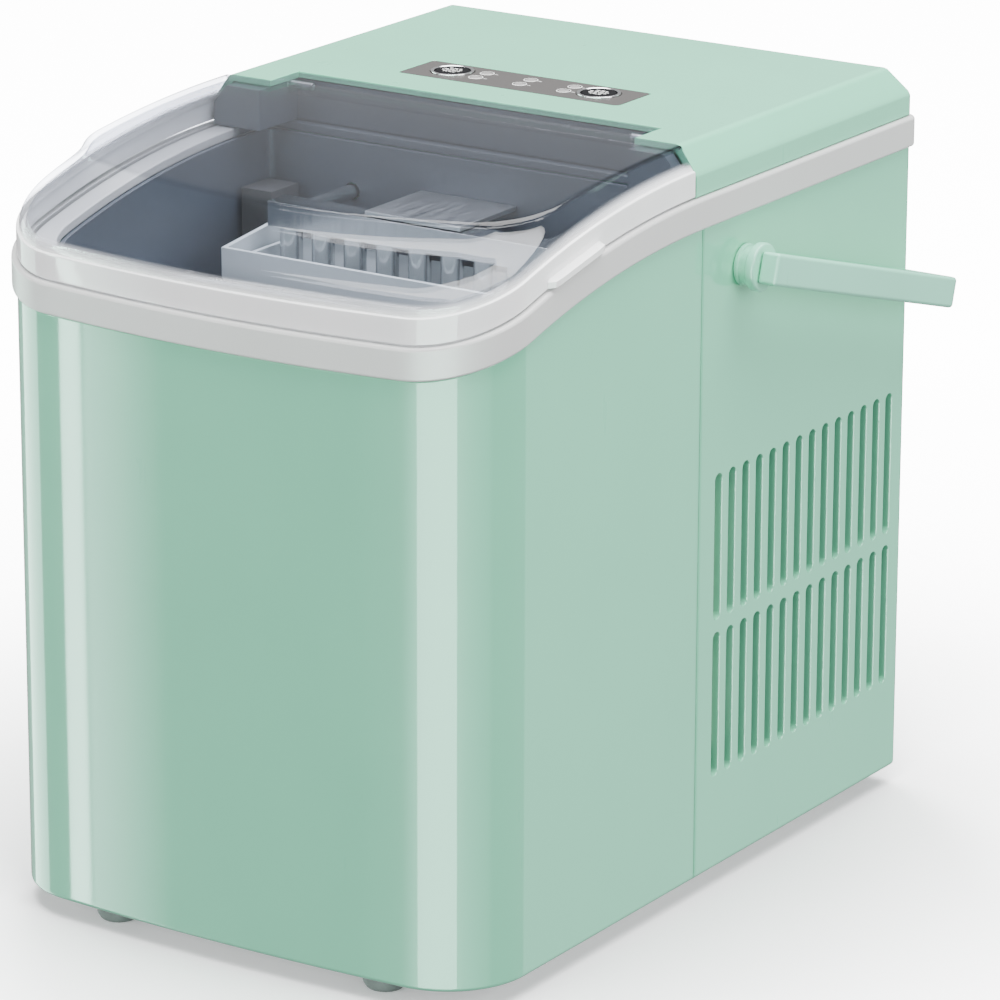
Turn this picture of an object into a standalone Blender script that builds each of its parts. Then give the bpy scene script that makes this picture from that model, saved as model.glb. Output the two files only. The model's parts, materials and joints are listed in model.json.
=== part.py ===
"""Countertop bullet ice maker with a clear hinged lid and a folding carry handle.

Design frame, in millimetres: X across, Y from front (-) to back (+) with 0 at mid-depth of the body,
Z up from the underside of the body. place() turns it into the part's frame: metres, +Z up, origin on
the floor under the middle of the bounding box.
"""

import math

import bmesh
import bpy
from mathutils import Vector

MM = 0.001
GAP = 0.3  # clearance between pieces that touch

# Body
HALF_W = 111.0
BACK_Y = 156.9
FRONT_Y = -BACK_Y
SEAM_Y = -0.6  # joint between the front and rear shells
FRONT_CORNER = 34.0
FRONT_BOW = 1141.0  # plan radius of the slightly bowed front
BACK_CORNER = 3.0
FRONT_WALL = 2.0
REAR_WALL = 3.0
FOOT_HEIGHT = 7.6
FOOT_RADIUS = 8.5

# Trim band: its lower edge rises from the front to the seam along a power curve
BAND_FRONT = 232.0
BAND_RISE = 28.4
BAND_POWER = 2.1
BAND_HEIGHT = 12.3
BAND_PROUD = 2.0
BAND_THICK = 5.0

# Top cover
COVER_BOTTOM = BAND_FRONT + BAND_RISE + BAND_HEIGHT + GAP
COVER_TOP = 292.4
COVER_CHAMFER_IN = 7.6
COVER_CHAMFER_DOWN = 10.5
COVER_FRONT = -6.2
COVER_WALL = 2.5
NOTCH_HALF_W = 83.7
NOTCH_BACK = 13.0

# Control panel
PANEL_Y = 46.0
PANEL_SIZE = (101.6, 24.8)
PANEL_THICK = 0.9
PANEL_CORNER = 2.0
BUTTON_X = 34.0
BUTTON_Y = 46.9
BUTTON_RADIUS = 7.0
RING_RADIUS = 8.7
LIGHT_PITCH = 20.4
LIGHT_ROWS = (42.9, 51.0)
LIGHT_RADIUS = 2.2

# Lid
LID_WALL = 2.5
LID_LIP = 9.5
LID_GAP = 1.3
LID_BACK = -7.0
TONGUE_HALF_W = 83.0
TONGUE_BACK = 12.2
TONGUE_FOLD = 1.5
LID_AXIS_Y = 8.2
LID_AXIS_Z = COVER_TOP - 4.1
LID_BARREL = 3.9
WINDOW_RADIUS = 638.0
CREASE_HALF_W = 104.5
CREASE_FRONT = -126.0
CREASE_CORNER = 27.0
CREASE_BOW = 330.0
PIN_RADIUS = 1.5

# Handle
HANDLE_Y = 28.6
HANDLE_Z = 240.0
HANDLE_ANGLE = -16.2
HANDLE_REACH = 144.2
HANDLE_BAR = 8.1
HANDLE_WIDTH = 12.4
HANDLE_INNER_X = 120.8
HANDLE_BOSS = 4.8
HUB_RADIUS = 7.6
HUB_FLANGE = 9.45
HANDLE_PIN = 2.0

# Vents
VENT_COLUMNS = 14
VENT_FIRST_Y = 13.1
VENT_PITCH = 10.03
VENT_WIDTH = 4.8
VENT_ROWS = ((38.8, 97.0), (102.5, 160.9))

# Ice chamber
RIM_INNER_X = 97.0
RIM_INNER_FRONT = -141.0
RIM_INNER_BACK = 10.0
RIM_CORNER = 20.0
RIM_THICK = 3.4
LINER_WALL = 2.0
LINER_BOTTOM = 60.0
BASKET_X = 86.0
BASKET_Y = (-132.0, -62.0)
BASKET_Z = (118.0, 226.0)
BASKET_WALL = 2.0
BASKET_CORNER = 5.0
BASKET_SLOT_W = 4.2

# Ice making
FINGERS = 9
FINGER_PITCH = 15.0
FINGER_RADIUS = 4.5
FINGER_Y = -26.0
FINGER_TIP = 212.0
BAR_Z = (242.0, 252.0)
TRAY_AXIS_Y = -2.0
TRAY_AXIS_Z = 236.0
TRAY_HALF_W = 72.0
TRAY_WALL = 2.0
SHAFT_RADIUS = 2.0

# Cooling
COMPRESSOR_X = 40.0
COMPRESSOR_Y = 86.0
COMPRESSOR_RADIUS = 46.0
FAN_Y = 87.0
FAN_Z = 99.0
FAN_RADIUS = 40.0
FAN_BLADES = 5
FAN_X = -72.0

# Back wall fittings
INLET_X = 62.0
INLET_Z = 34.0
DRAIN_X = -62.0
DRAIN_Z = 30.0
SCREW_X = 98.0
SCREW_ROWS = (16.0, 244.0)

MIDDLE_Y = 4.785  # middle of the whole depth, from the band's front to the folded handle's back


# ---------------------------------------------------------------- tools


def place(x, y, z):
    return Vector((x, y - MIDDLE_Y, z + FOOT_HEIGHT)) * MM


def clear_scene():
    for old in list(bpy.data.objects):
        bpy.data.objects.remove(old, do_unlink=True)


def finish(name, color, roughness, metallic=0.0, alpha=1.0):
    made = bpy.data.materials.new(name)
    made.use_nodes = True
    shader = made.node_tree.nodes["Principled BSDF"]
    shader.inputs["Base Color"].default_value = (*color, 1.0)
    shader.inputs["Roughness"].default_value = roughness
    shader.inputs["Metallic"].default_value = metallic
    shader.inputs["Alpha"].default_value = alpha
    made.diffuse_color = (*color, alpha)
    return made


def solid(name, bm, material, origin=(0.0, 0.0, 0.0)):
    """Object from a bmesh in design millimetres, with its origin at a design point."""
    bmesh.ops.recalc_face_normals(bm, faces=bm.faces)
    for vertex in bm.verts:
        vertex.co = (vertex.co - Vector(origin)) * MM
    mesh = bpy.data.meshes.new(name)
    bm.to_mesh(mesh)
    bm.free()
    mesh.shade_smooth()
    mesh.set_sharp_from_angle(angle=math.radians(32))
    obj = bpy.data.objects.new(name, mesh)
    obj.location = place(*origin)
    if material:
        mesh.materials.append(material)
    bpy.context.scene.collection.objects.link(obj)
    return obj


def change(target, tool, operation):
    tool.hide_render = True
    tool.display_type = "WIRE"
    modifier = target.modifiers.new(tool.name, "BOOLEAN")
    modifier.operation = operation
    modifier.solver = "EXACT"
    modifier.object = tool
    return target


def cut(target, *tools):
    for tool in tools:
        change(target, tool, "DIFFERENCE")
    return target


def fuse(target, *tools):
    for tool in tools:
        change(target, tool, "UNION")
    return target


def add_stack(bm, loops):
    """Closed solid through rings of points (x, y, z), bottom to top, with flat ends."""
    rings = [[bm.verts.new(point) for point in loop] for loop in loops]
    count = len(rings[0])
    for low, high in zip(rings, rings[1:]):
        for i in range(count):
            j = (i + 1) % count
            bm.faces.new((low[i], low[j], high[j], high[i]))
    bm.faces.new(rings[0][::-1])
    bm.faces.new(rings[-1])


def stack(name, loops, material=None, origin=(0.0, 0.0, 0.0)):
    bm = bmesh.new()
    add_stack(bm, loops)
    return solid(name, bm, material, origin)


def level(outline, z):
    return [(x, y, z) for x, y in outline]


def add_box(bm, low, high):
    corners = [(low[0], low[1]), (high[0], low[1]), (high[0], high[1]), (low[0], high[1])]
    add_stack(bm, [level(corners, low[2]), level(corners, high[2])])


def box(name, low, high, material=None, origin=(0.0, 0.0, 0.0)):
    return boxes(name, [(low, high)], material, origin)


def boxes(name, pairs, material=None, origin=(0.0, 0.0, 0.0)):
    """One mesh of separate boxes; as a node it must be a single pair."""
    bm = bmesh.new()
    for low, high in pairs:
        add_box(bm, low, high)
    return solid(name, bm, material, origin)


def rounded(x0, x1, y0, y1, radius, steps=4):
    """Rounded rectangle, anticlockwise."""
    points = []
    corners = ((x1, y0, -90), (x1, y1, 0), (x0, y1, 90), (x0, y0, 180))
    for x, y, start in corners:
        cx = x - math.copysign(radius, x - (x0 + x1) / 2)
        cy = y - math.copysign(radius, y - (y0 + y1) / 2)
        for k in range(steps + 1):
            angle = math.radians(start + 90 * k / steps)
            points.append((cx + radius * math.cos(angle), cy + radius * math.sin(angle)))
    return points


def circle(radius, count):
    turns = [math.tau * k / count for k in range(count)]
    return [(radius * math.cos(turn), radius * math.sin(turn)) for turn in turns]


def turn_to(axis, ring, along):
    """Puts a flat ring of (a, b) points at a distance along the X, Y or Z axis."""
    if axis == "X":
        return [(along, a, b) for a, b in ring]
    if axis == "Y":
        return [(b, along, a) for a, b in ring]
    return [(a, b, along) for a, b in ring]


def rod_rings(axis, centre, profile, count):
    """Rings of a turned solid: profile is (distance along the axis, radius), small ends closed flat."""
    rings = []
    for along, radius in profile:
        ring = turn_to(axis, circle(radius, count), along)
        rings.append([tuple(c + p for c, p in zip(centre, point)) for point in ring])
    return rings


def rod(name, axis, centre, profile, material=None, count=20, origin=(0.0, 0.0, 0.0)):
    return stack(name, rod_rings(axis, centre, profile, count), material, origin)


def prism(name, axis, outline, low, high, material=None, origin=(0.0, 0.0, 0.0)):
    """Outline extruded along an axis; its points are (y, z), (z, x) or (x, y)."""
    rings = [turn_to(axis, outline, low), turn_to(axis, outline, high)]
    return stack(name, rings, material, origin)


def pipe(name, route, radius, material):
    """Bent tube of round section through a smooth curve of route points."""
    points = []
    for k in range(len(route) - 1):
        before, start, end, after = (
            Vector(route[min(max(i, 0), len(route) - 1)]) for i in (k - 1, k, k + 1, k + 2)
        )
        for step in range(4):
            t = step / 4
            points.append(0.5 * (
                2 * start + (end - before) * t
                + (2 * before - 5 * start + 4 * end - after) * t * t
                + (3 * start - before - 3 * end + after) * t ** 3
            ))
    points.append(Vector(route[-1]))
    curve = bpy.data.curves.new(name, "CURVE")
    curve.dimensions = "3D"
    curve.bevel_depth = radius * MM
    curve.bevel_resolution = 2
    curve.use_fill_caps = True
    spline = curve.splines.new("POLY")
    spline.points.add(len(points) - 1)
    for knot, point in zip(spline.points, points):
        knot.co = (*place(*point), 1.0)
    curve.materials.append(material)
    obj = bpy.data.objects.new(name, curve)
    bpy.context.scene.collection.objects.link(obj)
    return obj


def join_rings(bm, outer, inner, closed):
    """Skin of a wall between two rails. Each rail point is (x, y, low z, high z)."""
    rows = []
    for (ox, oy, olow, ohigh), (ix, iy, ilow, ihigh) in zip(outer, inner):
        rows.append([
            bm.verts.new(point)
            for point in ((ox, oy, olow), (ox, oy, ohigh), (ix, iy, ihigh), (ix, iy, ilow))
        ])
    pairs = list(zip(rows, rows[1:]))
    if closed:
        pairs.append((rows[-1], rows[0]))
    else:
        bm.faces.new(rows[0])
        bm.faces.new(rows[-1][::-1])
    for first, second in pairs:
        for i in range(4):
            j = (i + 1) % 4
            bm.faces.new((first[i], first[j], second[j], second[i]))


def wall(name, outer, inner, low, high, material, closed=False):
    """Wall between two plan outlines, with lower and upper edges given as functions of y."""
    bm = bmesh.new()
    join_rings(
        bm,
        [(x, y, low(y), high(y)) for x, y in outer],
        [(x, y, low(y), high(y)) for x, y in inner],
        closed,
    )
    return solid(name, bm, material)


# ---------------------------------------------------------------- shared outlines


def bowed_front(half, front, corner, bow, back, side_steps=12, corner_steps=7, bow_steps=8):
    """Open outline from the right back, round a bowed front with round corners, to the left back.

    corner and bow are plan radii; the corner arc is tangent to the bow and to the side.
    """
    corner_x = half - corner
    corner_y = front + bow - math.sqrt((bow - corner) ** 2 - corner_x ** 2)
    spread = math.asin(corner_x / (bow - corner))
    points = [
        (half, back + (corner_y - back) * k / side_steps) for k in range(side_steps)
    ]
    for k in range(corner_steps):
        angle = -(math.pi / 2 - spread) * k / corner_steps
        points.append((corner_x + corner * math.cos(angle), corner_y + corner * math.sin(angle)))
    for k in range(bow_steps + 1):
        angle = spread * (1 - 2 * k / bow_steps)
        points.append((bow * math.sin(angle), front + bow - bow * math.cos(angle)))
    mirrored = [(-x, y) for x, y in points[: side_steps + corner_steps]]
    return points + mirrored[::-1]


def body_outline(inset, back, **steps):
    return bowed_front(
        HALF_W - inset, FRONT_Y + inset, FRONT_CORNER - inset, FRONT_BOW - inset, back, **steps
    )


def round_back(half, back, radius, steps=3):
    """Left-to-right back corners that close an outline from bowed_front."""
    radius = max(radius, 0.5)
    points = []
    for side, start in ((-1, 180), (1, 90)):
        for k in range(steps + 1):
            angle = math.radians(start - 90 * k / steps)
            points.append((
                side * (half - radius) + radius * math.cos(angle),
                back - radius + radius * math.sin(angle),
            ))
    return points


def full_outline(inset):
    """Closed body outline, front and back."""
    back = BACK_Y - BACK_CORNER - 0.5
    corners = round_back(HALF_W - inset, BACK_Y - inset, BACK_CORNER - inset)
    return body_outline(inset, back, side_steps=16) + corners


def band_low(y):
    """Height of the trim band's lower edge."""
    along = min(max((y - FRONT_Y) / (-FRONT_Y), 0.0), 1.0)
    return BAND_FRONT + BAND_RISE * (1 - (1 - along) ** BAND_POWER)


def band_high(y):
    return band_low(y) + BAND_HEIGHT


# ---------------------------------------------------------------- housing


def make_shells(paint):
    wall(
        "front_shell",
        body_outline(0.0, SEAM_Y - GAP / 2),
        body_outline(FRONT_WALL, SEAM_Y - GAP / 2),
        lambda y: 0.0,
        lambda y: band_low(y) - GAP,
        paint,
    )
    outer = [(HALF_W, SEAM_Y + GAP / 2)] + round_back(HALF_W, BACK_Y, BACK_CORNER)[::-1]
    inner_half = HALF_W - REAR_WALL
    inner = [(inner_half, SEAM_Y + GAP / 2)]
    inner += round_back(inner_half, BACK_Y - REAR_WALL, 0.5)[::-1]
    rear = wall(
        "rear_shell",
        outer + [(-HALF_W, SEAM_Y + GAP / 2)],
        inner + [(-inner_half, SEAM_Y + GAP / 2)],
        lambda y: 0.0,
        lambda y: band_low(y) - GAP,
        paint,
    )
    bm = bmesh.new()
    for low, high in VENT_ROWS:
        for column in range(VENT_COLUMNS):
            y = VENT_FIRST_Y + VENT_PITCH * column
            slot = rounded(y - VENT_WIDTH / 2, y + VENT_WIDTH / 2, low, high, VENT_WIDTH / 2 - 0.01, 2)
            add_stack(bm, [turn_to("X", slot, -HALF_W - 5), turn_to("X", slot, HALF_W + 5)])
    pin_hole = HANDLE_PIN + GAP
    cut(
        rear,
        solid("vent_cutter", bm, None),
        rod("hub_cutter", "X", (0, HANDLE_Y, HANDLE_Z), [(-120, pin_hole), (120, pin_hole)], count=12),
        box("inlet_cutter", (INLET_X - 12, BACK_Y - 8, INLET_Z - 9),
            (INLET_X + 12, BACK_Y + 8, INLET_Z + 9)),
        rod("drain_cutter", "Y", (DRAIN_X, 0, DRAIN_Z), [(BACK_Y - 8, 6.3), (BACK_Y + 8, 6.3)], count=16),
    )


def make_base(plastic, rubber):
    inset = REAR_WALL + GAP
    outline = full_outline(inset)
    stack("base_pan", [level(outline, 0.3), level(outline, 3.3)], plastic)
    for front, across, y in (("front", 62.0, -140.0), ("back", 84.0, 134.0)):
        for side, x in (("left", -across), ("right", across)):
            profile = [
                (-FOOT_HEIGHT, FOOT_RADIUS - 1.5), (-FOOT_HEIGHT + 2.5, FOOT_RADIUS), (0.0, FOOT_RADIUS),
            ]
            rod(f"foot_{front}_{side}", "Z", (x, y, 0), profile, rubber)


def make_band(plastic):
    wall(
        "trim_band",
        full_outline(-BAND_PROUD),
        full_outline(BAND_THICK - BAND_PROUD),
        band_low,
        band_high,
        plastic,
        closed=True,
    )


def cover_block(name, inset, bottom, front, material=None):
    """Chamfered block of the cover: vertical up to the chamfer, then drawn in at the sides and back."""
    shoulder = COVER_TOP - COVER_CHAMFER_DOWN - 0.45 * inset
    loops = []
    for z, draw_in in (
        (bottom, 0.0), (shoulder, 0.0), (COVER_TOP - inset, COVER_CHAMFER_IN - 0.2 * inset),
    ):
        half = HALF_W - inset - draw_in
        back = BACK_Y - inset - draw_in
        outline = [(-half, front)] + round_back(half, back, BACK_CORNER - inset) + [(half, front)]
        loops.append(level(outline[::-1], z))
    return stack(name, loops, material)


def make_cover(paint):
    cover = cover_block("top_cover", 0.0, COVER_BOTTOM, COVER_FRONT, paint)
    x, y = PANEL_SIZE[0] / 2 + GAP, PANEL_SIZE[1] / 2 + GAP
    pocket = rounded(-x, x, PANEL_Y - y, PANEL_Y + y, PANEL_CORNER)
    depth = PANEL_THICK + GAP
    ring_hole = RING_RADIUS + GAP
    cut(
        cover,
        cover_block("cover_hollow", COVER_WALL, COVER_BOTTOM - 5, COVER_FRONT - 20),
        box("notch_cutter", (-NOTCH_HALF_W, COVER_FRONT - 30, COVER_BOTTOM - 9),
            (NOTCH_HALF_W, NOTCH_BACK, COVER_TOP + 9)),
        stack("panel_cutter", [level(pocket, COVER_TOP - depth), level(pocket, COVER_TOP + 5)]),
    )
    for side in (-1, 1):
        cut(cover, rod(f"ring_cutter_{side + 1}", "Z", (side * BUTTON_X, BUTTON_Y, 0),
                       [(COVER_TOP - 9, ring_hole), (COVER_TOP + 9, ring_hole)], count=24))
    cut(cover, light_posts("light_cutter", LIGHT_RADIUS + GAP, COVER_TOP - 9, COVER_TOP + 9))


# ---------------------------------------------------------------- control panel


def light_posts(name, radius, low, high, material=None):
    bm = bmesh.new()
    for row in LIGHT_ROWS:
        for column in (-1, 0, 1):
            centre = (column * LIGHT_PITCH, row, 0)
            add_stack(bm, rod_rings("Z", centre, [(low, radius), (high, radius)], 12))
    return solid(name, bm, material)


def make_panel(overlay, dark, chrome, lens):
    x, y = PANEL_SIZE[0] / 2, PANEL_SIZE[1] / 2
    outline = rounded(-x, x, PANEL_Y - y, PANEL_Y + y, PANEL_CORNER)
    panel = stack(
        "control_panel", [level(outline, COVER_TOP - PANEL_THICK), level(outline, COVER_TOP)], overlay
    )
    cut(panel, light_posts("panel_light_cutter", LIGHT_RADIUS + GAP, COVER_TOP - 9, COVER_TOP + 9))
    for side, ring_name, button_name in (
        (-1, "select_button_ring", "select_button"),
        (1, "power_button_ring", "power_button"),
    ):
        middle = (side * BUTTON_X, BUTTON_Y, 0)
        hole = RING_RADIUS + GAP
        cut(panel, rod(f"panel_ring_cutter_{side + 1}", "Z", middle,
                       [(COVER_TOP - 9, hole), (COVER_TOP + 9, hole)], count=24))
        ring = rod(ring_name, "Z", middle,
                   [(COVER_TOP - 3.2, RING_RADIUS), (COVER_TOP + 0.3, RING_RADIUS),
                    (COVER_TOP + 0.6, RING_RADIUS - 0.4)], chrome, 28)
        bore = BUTTON_RADIUS + GAP
        cut(ring, rod(f"button_cutter_{side + 1}", "Z", middle,
                      [(COVER_TOP - 9, bore), (COVER_TOP + 9, bore)], count=28))
        top = COVER_TOP + 0.5
        rod(button_name, "Z", middle,
            [(top - 5.0, BUTTON_RADIUS), (top - 0.6, BUTTON_RADIUS), (top, BUTTON_RADIUS - 1.2)],
            dark, 28, (side * BUTTON_X, BUTTON_Y, COVER_TOP))
    light_bar = box("indicator_lens", (-LIGHT_PITCH - 4, LIGHT_ROWS[0] - 4, COVER_TOP - 5.2),
                    (LIGHT_PITCH + 4, LIGHT_ROWS[1] + 4, COVER_TOP - 3.6), lens)
    fuse(light_bar, light_posts("lens_posts", LIGHT_RADIUS, COVER_TOP - 4.5, COVER_TOP + 0.05))


# ---------------------------------------------------------------- lid


def window_height(y):
    """Top surface of the lid's window: level with the cover at the back, drooping along an arc."""
    ahead = max(LID_BACK - y, 0.0)
    return COVER_TOP - (WINDOW_RADIUS - math.sqrt(WINDOW_RADIUS ** 2 - ahead ** 2))


def lid_rows():
    """Rows of the lid's skin from its lower edge up to the crease, one column per outline point."""
    foot = body_outline(0.0, LID_BACK)
    crease = bowed_front(CREASE_HALF_W, CREASE_FRONT, CREASE_CORNER, CREASE_BOW, LID_BACK)
    rows = [[(x, y, band_high(y) + LID_GAP) for x, y in foot]]
    rows.append([(x, y, z + LID_LIP) for x, y, z in rows[0]])
    for t in (0.15, 0.4, 0.7, 1.0):
        row = []
        for (x, y, z), (cx, cy) in zip(rows[1], crease):
            swell = min(max((cy - LID_BACK) / (CREASE_FRONT - LID_BACK), 0.0), 1.0)
            across = t - swell * 0.30 * math.sin(math.tau * t) / 2 - swell * 0.06 * math.sin(math.pi * t)
            top = window_height(cy)
            row.append((x + (cx - x) * across, y + (cy - y) * across, z + (top - z) * t))
        rows.append(row)
    return rows


def make_lid(clear, steel):
    bm = bmesh.new()
    rows = [[bm.verts.new(point) for point in row] for row in lid_rows()]
    for low, high in zip(rows, rows[1:]):
        for i in range(len(low) - 1):
            bm.faces.new((low[i], low[i + 1], high[i + 1], high[i]))
    crease = rows[-1]
    half = len(crease) // 2
    bends = ((LID_BACK, 0.0), (TONGUE_BACK - TONGUE_FOLD, 0.0), (TONGUE_BACK, TONGUE_FOLD))
    tongue = [
        [bm.verts.new((side * TONGUE_HALF_W, y, COVER_TOP - drop)) for side in (1, -1)]
        for y, drop in bends
    ]
    bm.faces.new((crease[0], crease[1], crease[-2], crease[-1], *tongue[0][::-1]))
    for near, far in zip(tongue, tongue[1:]):
        bm.faces.new((*near, *far[::-1]))
    for i in range(1, half):
        face = [crease[i], crease[i + 1], crease[-2 - i], crease[-1 - i]]
        bm.faces.new(list(dict.fromkeys(face)))
    axis = (0.0, LID_AXIS_Y, LID_AXIS_Z)
    lid = solid("lid", bm, clear, axis)
    skin = lid.modifiers.new("thickness", "SOLIDIFY")
    skin.thickness = LID_WALL * MM
    skin.offset = -1.0
    skin.use_even_offset = True
    end = TONGUE_HALF_W - 0.4
    barrel = rod("lid_barrel", "X", axis, [(-end, LID_BARREL), (end, LID_BARREL)], origin=axis)
    fuse(lid, barrel, *(lid_tab(side, axis) for side in (-1, 1)))
    bore = PIN_RADIUS + GAP
    for side, name in ((-1, "lid_pin_left"), (1, "lid_pin_right")):
        start, stop = sorted((side * (end - 10), side * (end + 10)))
        cut(lid, rod(f"{name}_bore", "X", axis, [(start, bore), (stop, bore)], count=12, origin=axis))
        start, stop = sorted((side * (end - 9), side * (end + 7)))
        rod(name, "X", axis, [(start, PIN_RADIUS), (stop, PIN_RADIUS)], steel, 12, axis)


def lid_tab(side, axis):
    """Finger tab that stands out of the lip on one side."""
    rings = []
    for y in (-107.0, -73.0):
        z = band_high(y) + LID_GAP
        x = sorted((side * (HALF_W - 1.0), side * (HALF_W + 3.4)))
        rings.append([(x[0], y, z + 0.2), (x[1], y, z + 0.4), (x[1], y, z + 2.8), (x[0], y, z + 3.6)])
    return stack(f"lid_tab_{side + 1}", rings, origin=axis)


# ---------------------------------------------------------------- handle


def bail_outline(out, tip, corner, steps=5):
    """U seen square to the arms: points (x, distance from the pivot) from one arm's end to the other's."""
    points = [(out, -HANDLE_BOSS)]
    for k in range(steps + 1):
        angle = math.radians(90 * k / steps)
        points.append((out - corner + corner * math.cos(angle), tip - corner + corner * math.sin(angle)))
    return points + [(-x, y) for x, y in points[::-1]]


def make_handle(paint, steel):
    outer = bail_outline(HANDLE_INNER_X + HANDLE_BAR, HANDLE_REACH, 6.0)
    inner = bail_outline(HANDLE_INNER_X, HANDLE_REACH - HANDLE_BAR, 1.0)
    half = HANDLE_WIDTH / 2
    bm = bmesh.new()
    join_rings(
        bm, [(x, y, -half, half) for x, y in outer], [(x, y, -half, half) for x, y in inner], False
    )
    pivot = (0.0, HANDLE_Y, HANDLE_Z)
    for vertex in bm.verts:
        vertex.co += Vector(pivot)
    handle = solid("handle", bm, paint, pivot)
    handle.rotation_euler.x = math.radians(HANDLE_ANGLE)
    rounding = handle.modifiers.new("rounding", "BEVEL")
    rounding.width = 1.2 * MM
    rounding.segments = 2
    rounding.limit_method = "ANGLE"
    rounding.angle_limit = math.radians(50)
    pin_start, pin_end = HALF_W - 12.0, HANDLE_INNER_X + 4.0
    for side, word in ((-1, "left"), (1, "right")):
        start, stop = sorted((side * (HANDLE_INNER_X - 3), side * (HANDLE_INNER_X + 4.5)))
        bore = HANDLE_PIN + GAP
        cut(handle, rod(f"handle_bore_{word}", "X", pivot, [(start, bore), (stop, bore)], count=12))
        base, neck, face = HALF_W + GAP, HALF_W + 5.6, HANDLE_INNER_X - GAP
        profile = [(base, HUB_RADIUS), (neck, HUB_RADIUS), (neck + 0.4, HUB_FLANGE), (face, HUB_FLANGE)]
        if side < 0:
            profile = [(-along, radius) for along, radius in profile[::-1]]
        hub = rod(f"handle_hub_{word}", "X", pivot, profile, paint, 24)
        start, stop = sorted((side * (HALF_W - 5), side * (HANDLE_INNER_X + 5)))
        cut(hub, rod(f"hub_bore_{word}", "X", pivot, [(start, bore), (stop, bore)], count=12))
        start, stop = sorted((side * pin_start, side * pin_end))
        rod(f"handle_pin_{word}", "X", pivot, [(start, HANDLE_PIN), (stop, HANDLE_PIN)], steel, 12)


# ---------------------------------------------------------------- ice chamber


def chamber_outline(inset, back=RIM_INNER_BACK):
    """Closed outline of the chamber opening, drawn inwards by inset."""
    open_part = bowed_front(
        RIM_INNER_X - inset, RIM_INNER_FRONT + inset, RIM_CORNER - inset, FRONT_BOW, back - 13.0,
        corner_steps=6,
    )
    return open_part + round_back(RIM_INNER_X - inset, back - inset, 4.0, steps=2)


def make_rim(plastic):
    """Flange on the chamber's opening, under the lid's lip, following the band's rise."""
    outer = bowed_front(
        HALF_W - BAND_THICK, FRONT_Y + BAND_THICK, FRONT_CORNER - BAND_THICK, FRONT_BOW, 13.0,
        corner_steps=6,
    ) + round_back(HALF_W - BAND_THICK, 19.5, 4.0, steps=2)
    wall(
        "chamber_rim", outer, chamber_outline(0.0),
        lambda y: band_high(y) - RIM_THICK,
        band_high,
        plastic, closed=True,
    )


def make_liner(slate):
    outline = chamber_outline(0.0)
    top = [(x, y, band_high(y) - RIM_THICK - GAP) for x, y in outline]
    low = level(chamber_outline(3.0), LINER_BOTTOM)
    bm = bmesh.new()
    inner_outline = chamber_outline(LINER_WALL)
    inner_top = [(x, y, band_high(y) - RIM_THICK - GAP) for x, y in inner_outline]
    inner_low = level(chamber_outline(3.0 + LINER_WALL), LINER_BOTTOM + LINER_WALL)
    rings = [[bm.verts.new(p) for p in ring] for ring in (low, top, inner_top, inner_low)]
    count = len(top)
    for first, second in zip(rings, rings[1:]):
        for i in range(count):
            j = (i + 1) % count
            bm.faces.new((first[i], first[j], second[j], second[i]))
    bm.faces.new(rings[0][::-1])
    bm.faces.new(rings[-1])
    liner = solid("chamber_liner", bm, slate)
    for side, word in ((-1, "left"), (1, "right")):
        x = sorted((side * (RIM_INNER_X - 3.4), side * (BASKET_X - 6)))
        fuse(liner, box(f"ledge_{word}", (x[0], -116, BASKET_Z[0] - 4.3), (x[1], -66, BASKET_Z[0] - GAP)))
        cut(liner, rod(f"pipe_hole_{word}", "Y", (side * 55, 0, 249), [(2, 3.6), (20, 3.6)], count=12))
    cut(liner, rod("drain_hole", "Y", (DRAIN_X, 0, LINER_BOTTOM + 9), [(0, 5.3), (25, 5.3)], count=16))


def make_cowl(slate):
    """Dark walls round the lid's tongue, with a cheek block under each shoulder of the lid."""
    low, high = COVER_BOTTOM + 0.2, COVER_TOP - 3.1
    inside, outside = NOTCH_HALF_W + 0.9, NOTCH_HALF_W + 3.4
    back = NOTCH_BACK + 0.2
    cowl = box("rear_cowl", (-outside, back, low), (outside, back + 2.5, high), slate)
    for side, word in ((-1, "left"), (1, "right")):
        x = sorted((side * inside, side * outside))
        fuse(cowl, box(f"cowl_side_{word}", (x[0], -10, low), (x[1], back + 2, high)))
        section = [(low, 106.5), (282.0, 106.5), (high, 100.5), (high, inside), (low, inside)]
        section = [(z, side * out) for z, out in section]
        fuse(cowl, prism(f"cheek_{word}", "Y", section, -12.5, COVER_FRONT - GAP))
        start, stop = sorted((side * (TONGUE_HALF_W - 3), side * (TONGUE_HALF_W + 8)))
        pin = PIN_RADIUS + GAP
        cut(cowl, rod(f"cowl_bore_{word}", "X", (0, LID_AXIS_Y, LID_AXIS_Z),
                      [(start, pin), (stop, pin)], count=12))


def make_insulation(foam):
    """Foam jacket round the lower part of the liner."""
    inset = FRONT_WALL + 3.0
    outer = bowed_front(
        HALF_W - inset, FRONT_Y + inset, FRONT_CORNER - inset, FRONT_BOW, 8.0, corner_steps=6
    ) + round_back(HALF_W - inset, 16.5, 4.0, steps=2)
    gap = 0.6
    jacket = stack("tank_insulation", [level(outer, LINER_BOTTOM - 12), level(outer, 222.0)], foam)
    hollow = [
        level(chamber_outline(3.0 - gap), LINER_BOTTOM - gap),
        level(chamber_outline(-gap), 240.0),
    ]
    cut(jacket, stack("jacket_hollow", hollow))
    cut(jacket, rod("jacket_drain", "Y", (DRAIN_X, 0, LINER_BOTTOM + 9), [(5, 5.6), (25, 5.6)], count=16))


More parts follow.
